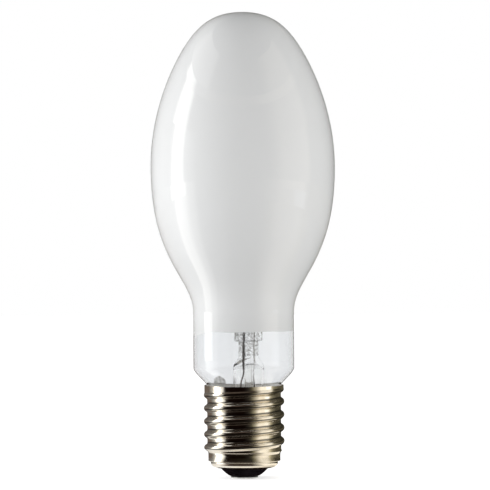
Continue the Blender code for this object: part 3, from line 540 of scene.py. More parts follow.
def offset(line, distance):
    """The line moved sideways, to the right of its direction."""
    moved = []
    for i, (x, y) in enumerate(line):
        normals = []
        for j in (i - 1, i):
            if 0 <= j < len(line) - 1:
                step = Vector((line[j + 1][0] - line[j][0], line[j + 1][1] - line[j][1])).normalized()
                normals.append(Vector((step.y, -step.x)))
        middle = sum(normals, Vector((0, 0))).normalized()
        reach = distance / middle.dot(normals[0])
        moved.append((x + middle.x * reach, y + middle.y * reach))
    return moved


def part_of(line, lowest, highest):
    """The stretch of a falling line between two heights, cut off level at both."""
    points = []
    for (r1, z1), (r2, z2) in zip(line, line[1:]):
        for height in (highest, lowest):
            if z2 < height < z1:
                points.append((r1 + (r2 - r1) * (z1 - height) / (z1 - z2), height))
        if lowest <= z2 <= highest:
            points.append((r2, z2))
    if lowest <= line[0][1] <= highest:
        points.insert(0, line[0])
    return points


def smooth(route, per_span):
    """Points on a smooth line through the route's own points."""
    route = [Vector(point) for point in route]
    slopes = [(after - before) / 2 for before, after in zip(route, route[2:])]
    slopes = [route[1] - route[0]] + slopes + [route[-1] - route[-2]]
    line = []
    for i in range(len(route) - 1):
        handles = (route[i], route[i] + slopes[i] / 3, route[i + 1] - slopes[i + 1] / 3, route[i + 1])
        line += interpolate_bezier(*handles, per_span + 1)[:-1]
    return line + [route[-1]]


def wire(name, points, radius, look, rough=0.0):
    """A wire with rounded ends, its radius a little uneven where rough is set."""
    points = [Vector(point) for point in points]
    along = [(b - a).normalized() for a, b in zip(points, points[1:])]
    along = [along[0]] + [(a + b).normalized() for a, b in zip(along, along[1:])] + [along[-1]]
    inset = radius * WIRE_END_ROUND
    first, last = ((points[i], along[i], WIRE_END_SHARE) for i in (0, -1))
    points[0] = points[0] + along[0] * inset
    points[-1] = points[-1] - along[-1] * inset
    sections = [first] + [(point, direction, 1.0) for point, direction in zip(points, along)] + [last]
    side = along[0].orthogonal().normalized()
    turns = [math.tau * i / WIRE_SIDES for i in range(WIRE_SIDES)]
    rings = []
    for spot, direction, share in sections:
        side = (side - direction * side.dot(direction)).normalized()
        other = direction.cross(side)
        size = radius * share * (1 + rough * noise.noise(spot * 900))
        rings.append([spot + (side * math.cos(turn) + other * math.sin(turn)) * size for turn in turns])
    verts, faces = loft(rings)
    return add_piece(name, verts, faces, look, 60)


# Bulb


def bulb_outline():
    """The outer side of the bulb's glass from the dome's top to its sealed end, as (radius, height)."""
    haunch = Vector((DOME_HAUNCH_RADIUS, DOME_HAUNCH_HEIGHT))
    slope = Vector((math.cos(DOME_HAUNCH_SLOPE), -math.sin(DOME_HAUNCH_SLOPE)))
    widest = (BULB_RADIUS, WIDEST_HEIGHT)
    above = (BULB_RADIUS, WIDEST_HEIGHT + BELLY_UPPER_LEAD)
    below = (BULB_RADIUS, WIDEST_HEIGHT - BELLY_LOWER_LEAD)
    over_neck = (NECK_RADIUS, NECK_TOP + NECK_UPPER_LEAD)
    under_neck = (NECK_RADIUS, NECK_FOOT - NECK_FOOT_LEAD)
    over_seal = (SEAL_RADIUS, SEAL_TOP + SEAL_LEAD)
    dome = bezier((0, BULB_TOP), (DOME_FLAT, BULB_TOP), haunch - slope * DOME_HAUNCH_LEAD, haunch, 26)
    shoulder = bezier(haunch, haunch + slope * BELLY_HAUNCH_LEAD, above, widest, 30)
    belly = bezier(widest, below, over_neck, (NECK_RADIUS, NECK_TOP), 40)
    neck = [(NECK_RADIUS, NECK_TOP - NECK_STEP * i) for i in range(1, 6)]
    foot = bezier((NECK_RADIUS, NECK_FOOT), under_neck, over_seal, (SEAL_RADIUS, SEAL_TOP), 26)
    return dome[:-1] + shoulder[:-1] + belly + neck + foot + [(SEAL_RADIUS, SEAL_END)]


def beside_bulb(depth):
    """The bulb's outer side without its pole, moved inwards, or outwards where the depth is negative."""
    return offset(bulb_outline()[1:], depth)


def coating_side(depth):
    return [(0, BULB_TOP - depth)] + part_of(beside_bulb(depth), COATING_EDGE, BULB_TOP)


def edge_warp(radius, height, angle):
    """The coating's edge, a little uneven and lower on the left."""
    from_dip = abs((angle - EDGE_DIP_ANGLE + math.pi) % math.tau - math.pi)
    dip = EDGE_DIP * ease(1 - from_dip / EDGE_DIP_HALF_SPAN)
    ripple = sum(depth * math.sin(waves * angle + start) for depth, waves, start in EDGE_RIPPLES)
    near_edge = ease(1 - (height - COATING_EDGE) / EDGE_REACH)
    return radius, height + near_edge * (ripple - dip)


def dress_bulb():
    inside = beside_bulb(GLASS_WALL)
    inside[-1] = (inside[-1][0], SEAL_END)
    profile = bulb_outline() + inside[::-1] + [(0, BULB_TOP - GLASS_WALL)]
    glass = turned("bulb_glass", profile[::-1], BULB_STEPS, bulb_glass_look())
    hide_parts("outer_envelope")


def dress_coating():
    outside = coating_side(GLASS_WALL - COATING_GRIP)
    inside = coating_side(GLASS_WALL - COATING_GRIP + COATING_THICKNESS)
    profile = (outside + inside[::-1])[::-1]
    look = coating_look()
    coating = turned("powder_coating", profile, BULB_STEPS, look, warp=edge_warp)
    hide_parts("diffusing_coating")


# Stem


def stem_centre(height):
    return STEM_AXIS * ease((height - SEAL_END) / FLARE_LENGTH)


def squeezed(angle, half_width, half_thickness, squareness):
    """A point of a rounded outline: an ellipse where squareness is 2, and squarer above that."""
    wide = math.copysign(abs(math.cos(angle)) ** (2 / squareness), math.cos(angle))
    thin = math.copysign(abs(math.sin(angle)) ** (2 / squareness), math.sin(angle))
    return wide * half_width, thin * half_thickness


def shoulder_size(height):
    """Half width and half thickness of the stem's outside where the tube closes in to the press."""
    share = ease((height - STEM_SHOULDER) / (PRESS_FOOT - STEM_SHOULDER))
    return [blend(STEM_TUBE_RADIUS, size, share) for size in (PRESS_HALF_WIDTH, PRESS_HALF_THICKNESS)]


def tube_sections():
    """Down the inside of the stem's tube, round the lip of its flare and up its outside to the shoulder.

    Each section is (height, half width, half thickness, squareness, roughness).
    """
    lip_top = SEAL_END - CLEARANCE
    lip_foot = lip_top - STEM_WALL
    neck_bore = SEAL_RADIUS - GLASS_WALL - 2 * CLEARANCE
    tube_foot = SEAL_END + FLARE_LENGTH
    bore = STEM_TUBE_RADIUS - STEM_WALL
    flare = bezier(
        (STEM_TUBE_RADIUS, tube_foot),
        (STEM_TUBE_RADIUS, tube_foot - FLARE_LENGTH / 2),
        ((STEM_TUBE_RADIUS + neck_bore) / 2, lip_top),
        (neck_bore, lip_top),
        14,
    )
    line = []
    for turn in (6, 14, 24, 36, 48, 60, 72, 82, 90):
        angle = math.radians(turn)
        height = BORE_TOP - (BORE_TOP - STEM_SHOULDER) * (1 - math.cos(angle))
        line.append(((shoulder_size(height)[1] - STEM_WALL) * math.sin(angle), height))
    line += [(bore, blend(STEM_SHOULDER, tube_foot, i / 8)) for i in range(1, 8)]
    line += offset(flare, STEM_WALL) + [(SEAL_RADIUS, lip_foot), (SEAL_RADIUS, lip_top)] + flare[::-1]
    line += [(STEM_TUBE_RADIUS, blend(tube_foot, STEM_SHOULDER, i / 9)) for i in range(1, 9)]
    return [(height, radius, radius, 2, 0) for radius, height in line]


def press_sections():
    """Up the outside of the shoulder and of the flat press, to its closed top, as in tube_sections."""
    shoulder = []
    for i in range(21):
        share = ease(i / 20)
        height = blend(STEM_SHOULDER, PRESS_FOOT, i / 20)
        shoulder.append((height, *shoulder_size(height), blend(2, PRESS_SQUARENESS, share), share**2))
    press = []
    for i in range(1, 41):
        height = blend(PRESS_FOOT, PRESS_STEP - CLEARANCE, i / 40)
        press.append((height, PRESS_HALF_WIDTH, PRESS_HALF_THICKNESS))
    for i in range(1, 6):
        height = blend(PRESS_STEP - CLEARANCE, PRESS_STEP + CLEARANCE, i / 6)
        wide = blend(PRESS_HALF_WIDTH, PRESS_HEAD_HALF_WIDTH, ease(i / 6))
        thin = blend(PRESS_HALF_THICKNESS, PRESS_HEAD_HALF_THICKNESS, ease(i / 6))
        press.append((height, wide, thin))
    for i in range(41):
        height = blend(PRESS_STEP + CLEARANCE, PRESS_TOP, i / 40)
        close = ease((height - PRESS_TOP + PRESS_EDGE_ROUND) / PRESS_EDGE_ROUND) * PRESS_EDGE_ROUND
        wide, thin = PRESS_HEAD_HALF_WIDTH - close, PRESS_HEAD_HALF_THICKNESS - close
        press.append((height, wide, thin))
    shares = (0.85, 0.6, 0.3)
    top = [(PRESS_TOP, wide * share, thin * share, PRESS_SQUARENESS, 0.5) for share in shares]
    return shoulder + [(*size, PRESS_SQUARENESS, 1) for size in press] + top


def stem_ring(section):
    """The points round one section of the stem, crinkled where it is rough."""
    height, half_width, half_thickness, squareness, rough = section
    centre = stem_centre(height) + Vector((0, 0, height))
    ring = []
    for i in range(STEM_STEPS):
        angle = math.tau * (i + 0.5) / STEM_STEPS
        wide, thin = squeezed(angle, half_width, half_thickness, squareness)
        point = centre + PRESS_DIRECTION * wide + ACROSS_PRESS * thin
        if rough:
            out = (PRESS_DIRECTION * wide + ACROSS_PRESS * thin * 3).normalized()
            crinkle = noise.noise(point * 700) * 0.6 + noise.noise(point * 1500) * 0.4
            point += out * (crinkle * CRINKLE_DEPTH - CRINKLE_INSET) * rough
        ring.append(point)
    return ring


def dress_stem():
    verts, faces = loft([stem_ring(section) for section in tube_sections() + press_sections()])
    stem = add_piece("stem_press_and_flare", verts, faces, stem_glass_look(), 60)
    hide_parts("stem_glass")


def dress_exhaust_tube():
    """The tube on the stem's axis. Its lower end is melted shut to a point."""
    top = BORE_TOP - CLEARANCE
    bore = EXHAUST_RADIUS - EXHAUST_WALL
    full = 2.2 * EXHAUST_RADIUS
    profile = [(bore, top)]
    for share, radii in ((1, 3), (0.6, 2.4), (0, 2.1)):
        profile.append((bore * share, EXHAUST_END + radii * EXHAUST_RADIUS))
    for share, rise in ((0, 0), (0.35, 0.0001), (0.62, 0.0012), (0.85, 0.0028), (1, full)):
        profile.append((EXHAUST_RADIUS * share, EXHAUST_END + rise))
    profile.append((EXHAUST_RADIUS, top))
    look = stem_glass_look()
    tube = turned("exhaust_tube_tipped", profile, 40, look, centre=(STEM_SHIFT, 0))
    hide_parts("exhaust_tube")


def dress_pins():
    dark = wire_look("oxidised_wire", (0.035, 0.030, 0.028), (0.14, 0.12, 0.11), 0.45)
    pale = wire_look("pale_wire", (0.52, 0.50, 0.48), (0.76, 0.75, 0.73), 0.40)
    for name, pin, look in (("front_pin_wire", FRONT_PIN, dark), ("back_pin_wire", BACK_PIN, pale)):
        heights = [blend(PIN_FOOT, PIN_TOP, i / PIN_STEPS) for i in range(PIN_STEPS + 1)]
        line = [Vector((pin.x, pin.y, height)) for height in heights]
        piece = wire(name, line, PIN_RADIUS, look, rough=0.10)
        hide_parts("front_seal_pin" if name.startswith("front") else "back_seal_pin")


def dress_shell_lead(look):
    """Down the stem's tube from the front pin, under the glass and up beside the bulb to the rim."""
    bend = SHELL_LEAD_BEND
    out = Vector((math.cos(SOLDER_AZIMUTH), math.sin(SOLDER_AZIMUTH), 0))
    under = SEAL_END - STEM_WALL - 3 * CLEARANCE - 2 * SHELL_LEAD_RADIUS
    start = FRONT_PIN + Vector((0, 0, PIN_FOOT - CLEARANCE))
    steps = ((0, 0, 0), (0, 0, -1), (-1, 0, -4), (-1, -1 / 4, -8))
    inside = [start + Vector(step) * bend for step in steps]
    inside.append(Vector((start.x - bend, start.y, under + 3 * bend)))
    inside.append(Vector((start.x - 2 * bend, start.y + 2 * bend, under - bend)))
    beside = beside_bulb(-SHELL_LEAD_STANDOFF - SHELL_LEAD_RADIUS)
    beside = part_of(beside, SEAL_END, SHELL_LEAD_END)[::3]
    climb = [out * radius + Vector((0, 0, height)) for radius, height in beside[::-1]]
    lowest = beside[-1][0]
    turn = [out * (lowest - bend) + Vector((0, 0, under - bend)), out * lowest + Vector((0, 0, under))]
    line = smooth(inside + turn + climb[:1], 8) + climb[1:]
    piece = wire("shell_lead_wire", line, SHELL_LEAD_LOOK_RADIUS, look)
    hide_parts("shell_lead")


def dress_contact_lead(look):
    """Down from the back pin, beside the exhaust tube and to the solder in the contact."""
    bend = CONTACT_LEAD_BEND
    start = BACK_PIN + Vector((0, 0, PIN_FOOT - CLEARANCE))
    route = [
        start,
        start + Vector((0, 0, -2 * bend)),
        start + Vector((bend / 2, 0, (SEAL_END - start.z) / 2)),
        Vector((start.x, start.y, SEAL_END)),
        Vector((start.x, start.y, EXHAUST_END)),
        Vector((0, 0, INSULATOR_FLOOR_HEIGHT + 3 * bend)),
        Vector((0, 0, CONTACT_SOLDER_TOP + CLEARANCE)),
    ]
    piece = wire("contact_lead_wire", smooth(route, 8), CONTACT_LEAD_RADIUS, look)
    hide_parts("contact_lead")


# Cap


def thread_sink(rise):
    """How deep the thread's outline lies under its crest, this high above one: two tangent arcs."""
    half = THREAD_PITCH / 2
    both_arcs = (half**2 + THREAD_DEPTH**2) / (2 * THREAD_DEPTH)
    root_arc = both_arcs - THREAD_CREST_ARC
    from_crest = abs((rise + half) % THREAD_PITCH - half)
    if from_crest <= half * THREAD_CREST_ARC / both_arcs:
        return THREAD_CREST_ARC - math.sqrt(THREAD_CREST_ARC**2 - from_crest**2)
    return THREAD_DEPTH - root_arc + math.sqrt(root_arc**2 - (half - from_crest) ** 2)


def thread_radius(angle, height):
    """The shell's outer radius. The groove dies away under the collar, whose edge is the last crest."""
    rise = height - THREAD_CREST_HEIGHT - THREAD_PITCH * angle / math.tau
    turns = math.floor(rise / THREAD_PITCH) + angle / math.tau
    threaded = CREST_RADIUS - thread_sink(rise)
    shallow = max(threaded, COLLAR_RADIUS)
    threaded = blend(shallow, threaded, ease((THREAD_LAST_TURN - turns) / THREAD_LAST_FADE))
    upper = blend(COLLAR_RADIUS, threaded, ease((RIM - THREAD_TOP_DROP - height) / THREAD_TOP_FADE))
    band = SHELL_FOOT_RADIUS + FOOT_STEP_WIDTH * ease((height - FOOT_STEP_HEIGHT) / FOOT_STEP_RISE)
    return blend(band, max(upper, band), ease((height - THREAD_FOOT_HEIGHT) / THREAD_FOOT_FADE))


def cap_warp(radius, height, angle):
    """Presses the plain tube to the thread. There the profile's radius is a depth in the wall."""
    if radius > SHELL_LIP_RADIUS / 2:
        return radius, height
    return thread_radius(angle, height) - radius, height


def shell_foot():
    """The shell's outer side from the band under the thread down over its heel to the turned-in lip."""
    edge = SHELL_STEP_EDGE
    band_ends = (THREAD_FOOT_HEIGHT - edge, SHELL_STEP_HEIGHT + 3 * edge)
    foot = [(SHELL_FOOT_RADIUS, height) for height in band_ends]
    foot += bezier(
        (SHELL_FOOT_RADIUS - 0.4 * edge, SHELL_STEP_HEIGHT + edge),
        (SHELL_FOOT_RADIUS - edge, SHELL_STEP_HEIGHT - edge),
        (SHELL_HEEL_RADIUS + edge, SHELL_STEP_HEIGHT),
        (SHELL_HEEL_RADIUS, SHELL_STEP_HEIGHT - 2 * edge),
        6,
    )
    for i in range(1, 13):
        turn = math.pi / 2 * i / 12
        full = 1 - SHELL_CORNER_FULLNESS * math.cos(turn)
        foot.append((
            SHELL_HEEL_RADIUS - SHELL_CORNER_RADIUS * (1 - math.cos(turn)),
            SHELL_LIP_HEIGHT + SHELL_CORNER_RADIUS * (1 - math.sin(turn)) * full,
        ))
    return foot + [(SHELL_LIP_RADIUS, SHELL_LIP_HEIGHT)]


def dress_cap():
    foot = shell_foot()
    inner_foot = offset(foot, CAP_WALL)
    inner_foot[-1] = (SHELL_LIP_RADIUS, SHELL_LIP_HEIGHT + CAP_WALL)
    walls = []
    # The outer face lies at a depth that is only just not a pole's
    for depth, rows in ((10 * POLE, SHELL_OUTER_ROWS), (CAP_WALL, SHELL_INNER_ROWS)):
        walls.append([(depth, blend(THREAD_FOOT_HEIGHT, RIM, i / rows)) for i in range(rows + 1)])
    outer, inner = walls
    profile = foot[::-1] + outer + inner[::-1] + inner_foot
    look = nickel_look()
    shell = turned("threaded_shell", profile, SHELL_STEPS, look, warp=cap_warp, sharp=50)
    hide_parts("cap_shell")


def dress_insulator():
    seat = CAP_WALL + CLEARANCE
    wide = SHELL_HEEL_RADIUS - seat
    corner = SHELL_CORNER_RADIUS - seat
    corner_foot = SHELL_LIP_HEIGHT + seat
    neck = SHELL_LIP_RADIUS - CLEARANCE
    bore = CONTACT_BORE_RADIUS + CONTACT_SHANK_WALL + CLEARANCE
    under = CONTACT_THICKNESS + CLEARANCE
    foot = INSULATOR_FOOT_RADIUS
    hollow = INSULATOR_FLOOR_RADIUS
    floor = INSULATOR_FLOOR_HEIGHT
    profile = [(wide - INSULATOR_RIM_WIDTH, INSULATOR_RIM_HEIGHT)]
    profile += [(hollow + INSULATOR_FLOOR_RUN, floor + EDGE_ROUND), (hollow, floor)]
    profile += [(bore, floor), (bore, under)]
    profile += [(foot - EDGE_ROUND, under), (foot - EDGE_ROUND * 4 / 15, under + EDGE_ROUND / 3)]
    profile.append((foot, under + EDGE_ROUND))
    for i in range(1, 9):
        swell = INSULATOR_SIDE_SWELL * math.sin(math.pi * i / 9)
        profile.append((blend(foot, neck, i / 9) + swell, blend(under, SHELL_LIP_HEIGHT, i / 9) - swell))
    profile += [(neck, SHELL_LIP_HEIGHT), (neck, corner_foot)]
    for i in range(9):
        turn = math.pi / 2 * (1 - i / 8)
        inset, rise = corner * (1 - math.cos(turn)), corner * (1 - math.sin(turn))
        profile.append((wide - inset, corner_foot + rise))
    profile.append((wide, INSULATOR_RIM_HEIGHT - CHAMFER))
    profile.append((wide - CHAMFER, INSULATOR_RIM_HEIGHT))
    cone = turned("black_glass_insulator", profile, END_STEPS, black_glass_look())
    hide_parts("cap_insulator")


def dress_contact():
    bore = CONTACT_BORE_RADIUS
    shank = CONTACT_BORE_RADIUS + CONTACT_SHANK_WALL
    thick = CONTACT_THICKNESS
    profile = [(bore, CONTACT_SHANK_TOP), (bore, CHAMFER), (bore + CHAMFER, 0)]
    for turn in (0, 0.4, 0.8, 1.2, math.pi / 2):
        inset, rise = EDGE_ROUND * (1 - math.sin(turn)), EDGE_ROUND * (1 - math.cos(turn))
        profile.append((CONTACT_RADIUS - inset, rise))
    profile += [(CONTACT_RADIUS, thick - CHAMFER), (CONTACT_RADIUS - CHAMFER, thick)]
    profile += [(shank, thick), (shank, CONTACT_SHANK_TOP)]
    disc = turned("contact_disc", profile, END_STEPS, tinned_look())
    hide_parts("centre_contact")


def dress_contact_solder():
    radius = CONTACT_BORE_RADIUS - CLEARANCE
    crown = radius / 3
    shoulder = CONTACT_SOLDER_TOP - crown
    profile = [(0, 0), (radius * 0.9, 0), (radius, CHAMFER), (radius, shoulder)]
    for i in range(1, 6):
        turn = math.pi / 2 * i / 6
        profile.append((radius * math.cos(turn), shoulder + crown * math.sin(turn)))
    profile.append((0, CONTACT_SOLDER_TOP))
    bead = turned("contact_solder_bead", profile, 40, solder_look())
    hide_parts("contact_solder")


def clear_of_lamp(point, glass):
    """The point, moved outwards until it clears the cap's collar or, above the rim, the bulb's glass."""
    radius = math.hypot(point.x, point.y)
    least = COLLAR_RADIUS + CLEARANCE
    if point.z > RIM + CLEARANCE:
        least = next((wall for wall, height in glass if height <= point.z), 0)
    scale = max(least, radius) / radius
    return Vector((point.x * scale, point.y * scale, point.z))


def dress_rim_solder():
    """A lumpy blob over the rim's edge, hollowed where the cap's collar and the bulb's glass stand."""
    centre = Vector((COLLAR_RADIUS + CLEARANCE, 0, RIM + SOLDER_RISE - SOLDER_HALF_RISE))
    glass = beside_bulb(-CLEARANCE)
    columns, rows = 48, 30
    rings = []
    for j in range(rows + 1):
        lean = math.pi * j / rows - math.pi / 2
        up = math.sin(lean)
        if j in (0, rows):
            rings.append([clear_of_lamp(centre + Vector((0, 0, up * SOLDER_HALF_RISE)), glass)])
            continue
        ring = []
        for i in range(columns):
            turn = math.tau * i / columns
            out, along = math.cos(lean) * math.cos(turn), math.cos(lean) * math.sin(turn)
            lump = 1 + SOLDER_LUMP * (noise.noise(Vector((out, along, up)) * 2.2) - 1)
            reach = Vector((out * SOLDER_REACH, along * SOLDER_HALF_WIDTH, up * SOLDER_HALF_RISE))
            ring.append(clear_of_lamp(centre + reach * lump, glass))
        rings.append(ring)
    turned_by = Matrix.Rotation(SOLDER_AZIMUTH, 4, "Z")
    verts, faces = loft([[turned_by @ point for point in ring] for ring in rings], ends=False)
    blob = add_piece("rim_solder_blob", verts, faces, solder_look(), 180)
    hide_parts("rim_solder")


def crumbled(radius, height, angle):
    """The cement's top face, a little rough."""
    if height < CEMENT_TOP - POLE:
        return radius, height
    spot = Vector((radius * math.cos(angle), radius * math.sin(angle), height))
    return radius, height - CEMENT_CRUMBLE * (0.5 + 0.5 * noise.noise(spot * 1400))


def dress_cement():
    thread_side = ROOT_RADIUS - CAP_WALL - CLEARANCE
    collar_side = COLLAR_RADIUS - CAP_WALL - CLEARANCE
    inside = part_of(beside_bulb(-CLEARANCE), CEMENT_FOOT, CEMENT_TOP)
    profile = [(thread_side, CEMENT_FOOT), (thread_side, CEMENT_FIRST_ROOT)]
    profile += [(collar_side, CEMENT_COLLAR_FOOT), (collar_side, CEMENT_TOP)]
    profile += [(blend(collar_side, inside[0][0], i / 8), CEMENT_TOP) for i in range(1, 8)] + inside
    # Buff cement, its colour painted lighter than its own: painted light for the shaded gap between the
    # glass and the collar.
    look = ceramic_look("basing_cement", (0.66, 0.62, 0.56), (0.88, 0.85, 0.80), 2600, 0.00006)
    ring = turned("cement_ring", profile, 160, look, warp=crumbled)
    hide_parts("basing_cement")


def finish_inner_nodes():
    alumina = ceramic_look("sintered_alumina", (0.84, 0.82, 0.78), (0.92, 0.90, 0.86), 3000, 0.000008)
    niobium = wire_look("niobium", (0.32, 0.31, 0.30), (0.52, 0.51, 0.50), 0.4)
    tungsten = wire_look("tungsten", (0.16, 0.16, 0.17), (0.34, 0.34, 0.35), 0.5)
    steel = wire_look("frame_steel", (0.36, 0.35, 0.33), (0.60, 0.59, 0.57), 0.32)
    for look, names in (
        (alumina, ("arc_tube", "lower_end_plug", "upper_end_plug")),
        (niobium, ("lower_niobium_tube", "upper_niobium_tube")),
        (tungsten, ("lower_electrode", "upper_electrode")),
        (steel, ("frame_rod", "lower_strap", "upper_strap", "dome_spring", "getter_ring", "getter_arm")),
    ):
        for name in names:
            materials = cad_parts[name].data.materials
            materials.clear()
            materials.append(look)


# Studio

FLOOR_HALF_WIDTH = 3.0
FLOOR_GLOW = 0.66
AMBIENT = 0.51
CAMERA_PLACE = (0.0009, -1.294, 0.11284)
CAMERA_LENS = 196.2
CAMERA_ROLL = math.radians(0.34)
LAMP_DISTANCE = 0.9
AIM_HEIGHT = 0.12  # to which the studio's lamps point
SURROUND_STEPS = 90
SHEET_HEIGHT = 0.001  # of the surround's rings above the floor
WALL_RADIUS = 0.9


def around(azimuth, radius, height):
    """A point by its azimuth from the camera's side, positive to the camera's right."""
    angle = math.radians(azimuth)
    return Vector((radius * math.sin(angle), -radius * math.cos(angle), height))


def glow_material(name, stops):
    """Light that changes round the lamp. Each stop is (azimuth, strength, colour)."""
    made = bpy.data.materials.new(name)
    made.use_nodes = True
    tree = made.node_tree
    tree.nodes.remove(tree.nodes["Principled BSDF"])
    light = node(made, "Emission")
    link(made, light.outputs["Emission"], tree.nodes["Material Output"].inputs["Surface"])
    spot = node(made, "UVMap")
    split = node(made, "SeparateXYZ")
    link(made, spot.outputs["UV"], split.inputs["Vector"])
    most = max(strength for _, strength, _ in stops)
    shades = []
    for azimuth, strength, colour in stops:
        shades.append((azimuth / 360 + 0.5, tuple(strength / most * part for part in colour)))
    link(made, ramp_of(made, split.outputs["X"], *shades), light.inputs["Color"])
    light.inputs["Strength"].default_value = most
    return made


def surround(name, profile, look):
    """A sheet all round the lamp along (radius, height) points, which only reflections show."""
    verts, faces, marks = [], [], []
    for i in range(SURROUND_STEPS + 1):
        verts += [around(360 * i / SURROUND_STEPS - 180, radius, height) for radius, height in profile]
    rows = len(profile)
    for i in range(SURROUND_STEPS):
        start, end = i / SURROUND_STEPS, (i + 1) / SURROUND_STEPS
        for j in range(rows - 1):
            a = i * rows + j
            faces.append((a, a + rows, a + rows + 1, a + 1))
            marks += [(start, 0), (end, 0), (end, 1), (start, 1)]
    mesh = bpy.data.meshes.new(name)
    mesh.from_pydata(verts, [], faces)
    layer = mesh.uv_layers.new(name="UVMap")
    for loop, mark in zip(layer.data, marks):
        loop.uv = mark
    mesh.materials.append(look)
    obj = add_object(name, mesh)
    obj.visible_camera = False
    obj.visible_diffuse = False
    obj.visible_shadow = False
    obj.visible_transmission = False


def background_rays(made):
    """1 for rays from the camera, a reflection or clear glass, and 0 for those that light a surface."""
    path = node(made, "LightPath")
    seen = maths(made, "MAXIMUM", path.outputs["Is Camera Ray"], path.outputs["Is Glossy Ray"])
    return maths(made, "MAXIMUM", seen, path.outputs["Is Transmission Ray"])


def make_floor():
    made = new_material("pale_floor", (0.80, 0.80, 0.80), 0.9, Specular_IOR_Level=0.1)
    colour_by(made, noise_of(made, 60, 3.0), (0.3, 0.79), (0.7, 0.81))
    shader_of(made).inputs["Emission Color"].default_value = (1, 1, 1, 1)
    glow = maths(made, "MULTIPLY", background_rays(made), FLOOR_GLOW)
    link(made, glow, shader_of(made).inputs["Emission Strength"])
    mesh = bpy.data.meshes.new("floor")
    half = FLOOR_HALF_WIDTH
    corners = [(-half, -half, 0), (half, -half, 0), (half, half, 0), (-half, half, 0)]
    mesh.from_pydata(corners, [], [(0, 1, 2, 3)])
    mesh.materials.append(made)
    add_object("floor", mesh)


def make_world():
    world = bpy.data.worlds.new("studio")
    bpy.context.scene.world = world
    world.use_nodes = True
    back = world.node_tree.nodes["Background"]
    back.inputs["Color"].default_value = (1, 1, 1, 1)
    strength = maths(world, "MULTIPLY", background_rays(world), 1 - AMBIENT)
    link(world, maths(world, "ADD", strength, AMBIENT), back.inputs["Strength"])


def make_lamp(name, azimuth, height, wide, tall, power, colour):
    data = bpy.data.lights.new(name, "AREA")
    data.shape = "RECTANGLE"
    data.size = wide
    data.size_y = tall
    data.energy = power
    data.color = colour
    lamp = add_object(name, data)
    lamp.location = around(azimuth, LAMP_DISTANCE, height)
    aim = Vector((0, 0, AIM_HEIGHT)) - lamp.location
    lamp.rotation_euler = aim.to_track_quat("-Z", "Y").to_euler()
    lamp.visible_camera = False
    lamp.visible_glossy = False
    lamp.visible_transmission = False


def make_camera():
    data = bpy.data.cameras.new("camera")
    data.sensor_width = 36
    data.lens = CAMERA_LENS
    data.clip_start = 0.05
    data.clip_end = 50
    camera = add_object("camera", data)
    camera.location = CAMERA_PLACE
    camera.rotation_euler = (math.pi / 2, CAMERA_ROLL, 0)
    bpy.context.scene.camera = camera


# What the metal and the glass reflect, as (azimuth, strength, colour): painted reflections on sheets that
# light nothing, whose dark stretches are painted shade. Azimuths are those of around().
PALE = (1.0, 0.98, 0.95)
WARM = (1.0, 0.93, 0.80)
OLIVE = (1.0, 0.90, 0.62)
BROWN = (1.0, 0.80, 0.68)
DARK = (1.0, 0.42, 0.25)
UNDER_END = [(-180, 0.01, DARK), (180, 0.01, DARK)]
UNDER_FOOT = [(-180, 1.0, PALE), (-50, 1.1, PALE), (40, 1.0, WARM), (90, 0.6, WARM)]
BESIDE_CAP = [
    (-180, 0.4, WARM), (-110, 1.0, PALE), (-70, 1.1, PALE), (-50, 0.25, BROWN), (-40, 0.08, BROWN),
    (20, 0.08, BROWN), (40, 0.5, WARM), (55, 1.2, WARM), (128, 1.2, WARM), (145, 0.5, OLIVE),
    (180, 0.3, OLIVE),
]
SHADOW_BAND = [
    (-180, 0.1, BROWN), (-112, 0.25, PALE), (-100, 0.6, PALE), (-94, 2.6, PALE), (-76, 2.6, PALE),
    (-66, 1.1, PALE), (-58, 0.03, BROWN), (-52, 0.008, DARK), (20, 0.02, OLIVE), (32, 0.25, OLIVE),
    (46, 0.95, WARM), (70, 0.95, WARM), (85, 0.3, OLIVE), (105, 0.05, OLIVE),
]
FLOOR_LEFT = [
    (-180, 0.15, BROWN), (-123, 0.17, BROWN), (-112, 0.33, PALE), (-103, 0.6, PALE),
    (-97, 1.2, PALE), (-94, 3.0, PALE), (-80, 3.0, PALE), (-71, 1.4, PALE), (-64, 0.97, PALE),
    (-58, 0.03, BROWN), (-52, 0.005, DARK), (0, 0.005, DARK), (7, 0.012, BROWN), (13, 0.025, BROWN),
    (19, 0.05, OLIVE),
]
FLOOR_RIGHT = [
    (24, 0.13, OLIVE), (30, 0.32, OLIVE), (36, 0.51, WARM), (42, 0.79, WARM), (48, 1.18, WARM),
    (60, 1.27, WARM),
]
FLOOR_BEHIND = [(90, 0.4, OLIVE), (98, 0.25, OLIVE), (118, 0.12, OLIVE), (180, 0.1, OLIVE)]
NEAR_FLOOR = FLOOR_LEFT + FLOOR_RIGHT + [(75, 1.07, WARM), (82, 0.75, OLIVE)] + FLOOR_BEHIND
MIDDLE_FLOOR = FLOOR_LEFT + [
    (24, 0.12, OLIVE), (34, 0.45, OLIVE), (44, 1.2, WARM), (76, 1.2, WARM), (86, 0.6, OLIVE),
    (100, 0.12, OLIVE), (118, 0.05, OLIVE),
]
FAR_FLOOR = FLOOR_LEFT + FLOOR_RIGHT + [
    (66, 1.3, WARM), (69, 1.8, PALE), (82, 1.8, PALE), (87, 0.7, WARM),
] + FLOOR_BEHIND
WALL_LEFT = [
    (-180, 0.15, BROWN), (-112, 0.33, PALE), (-102, 0.6, PALE), (-98, 4.8, PALE), (-77, 4.8, PALE),
    (-73, 1.4, PALE), (-64, 0.97, PALE), (-58, 0.03, BROWN), (-52, 0.005, DARK), (0, 0.005, DARK),
    (13, 0.025, BROWN), (24, 0.13, OLIVE), (36, 0.51, WARM), (48, 1.18, WARM),
]
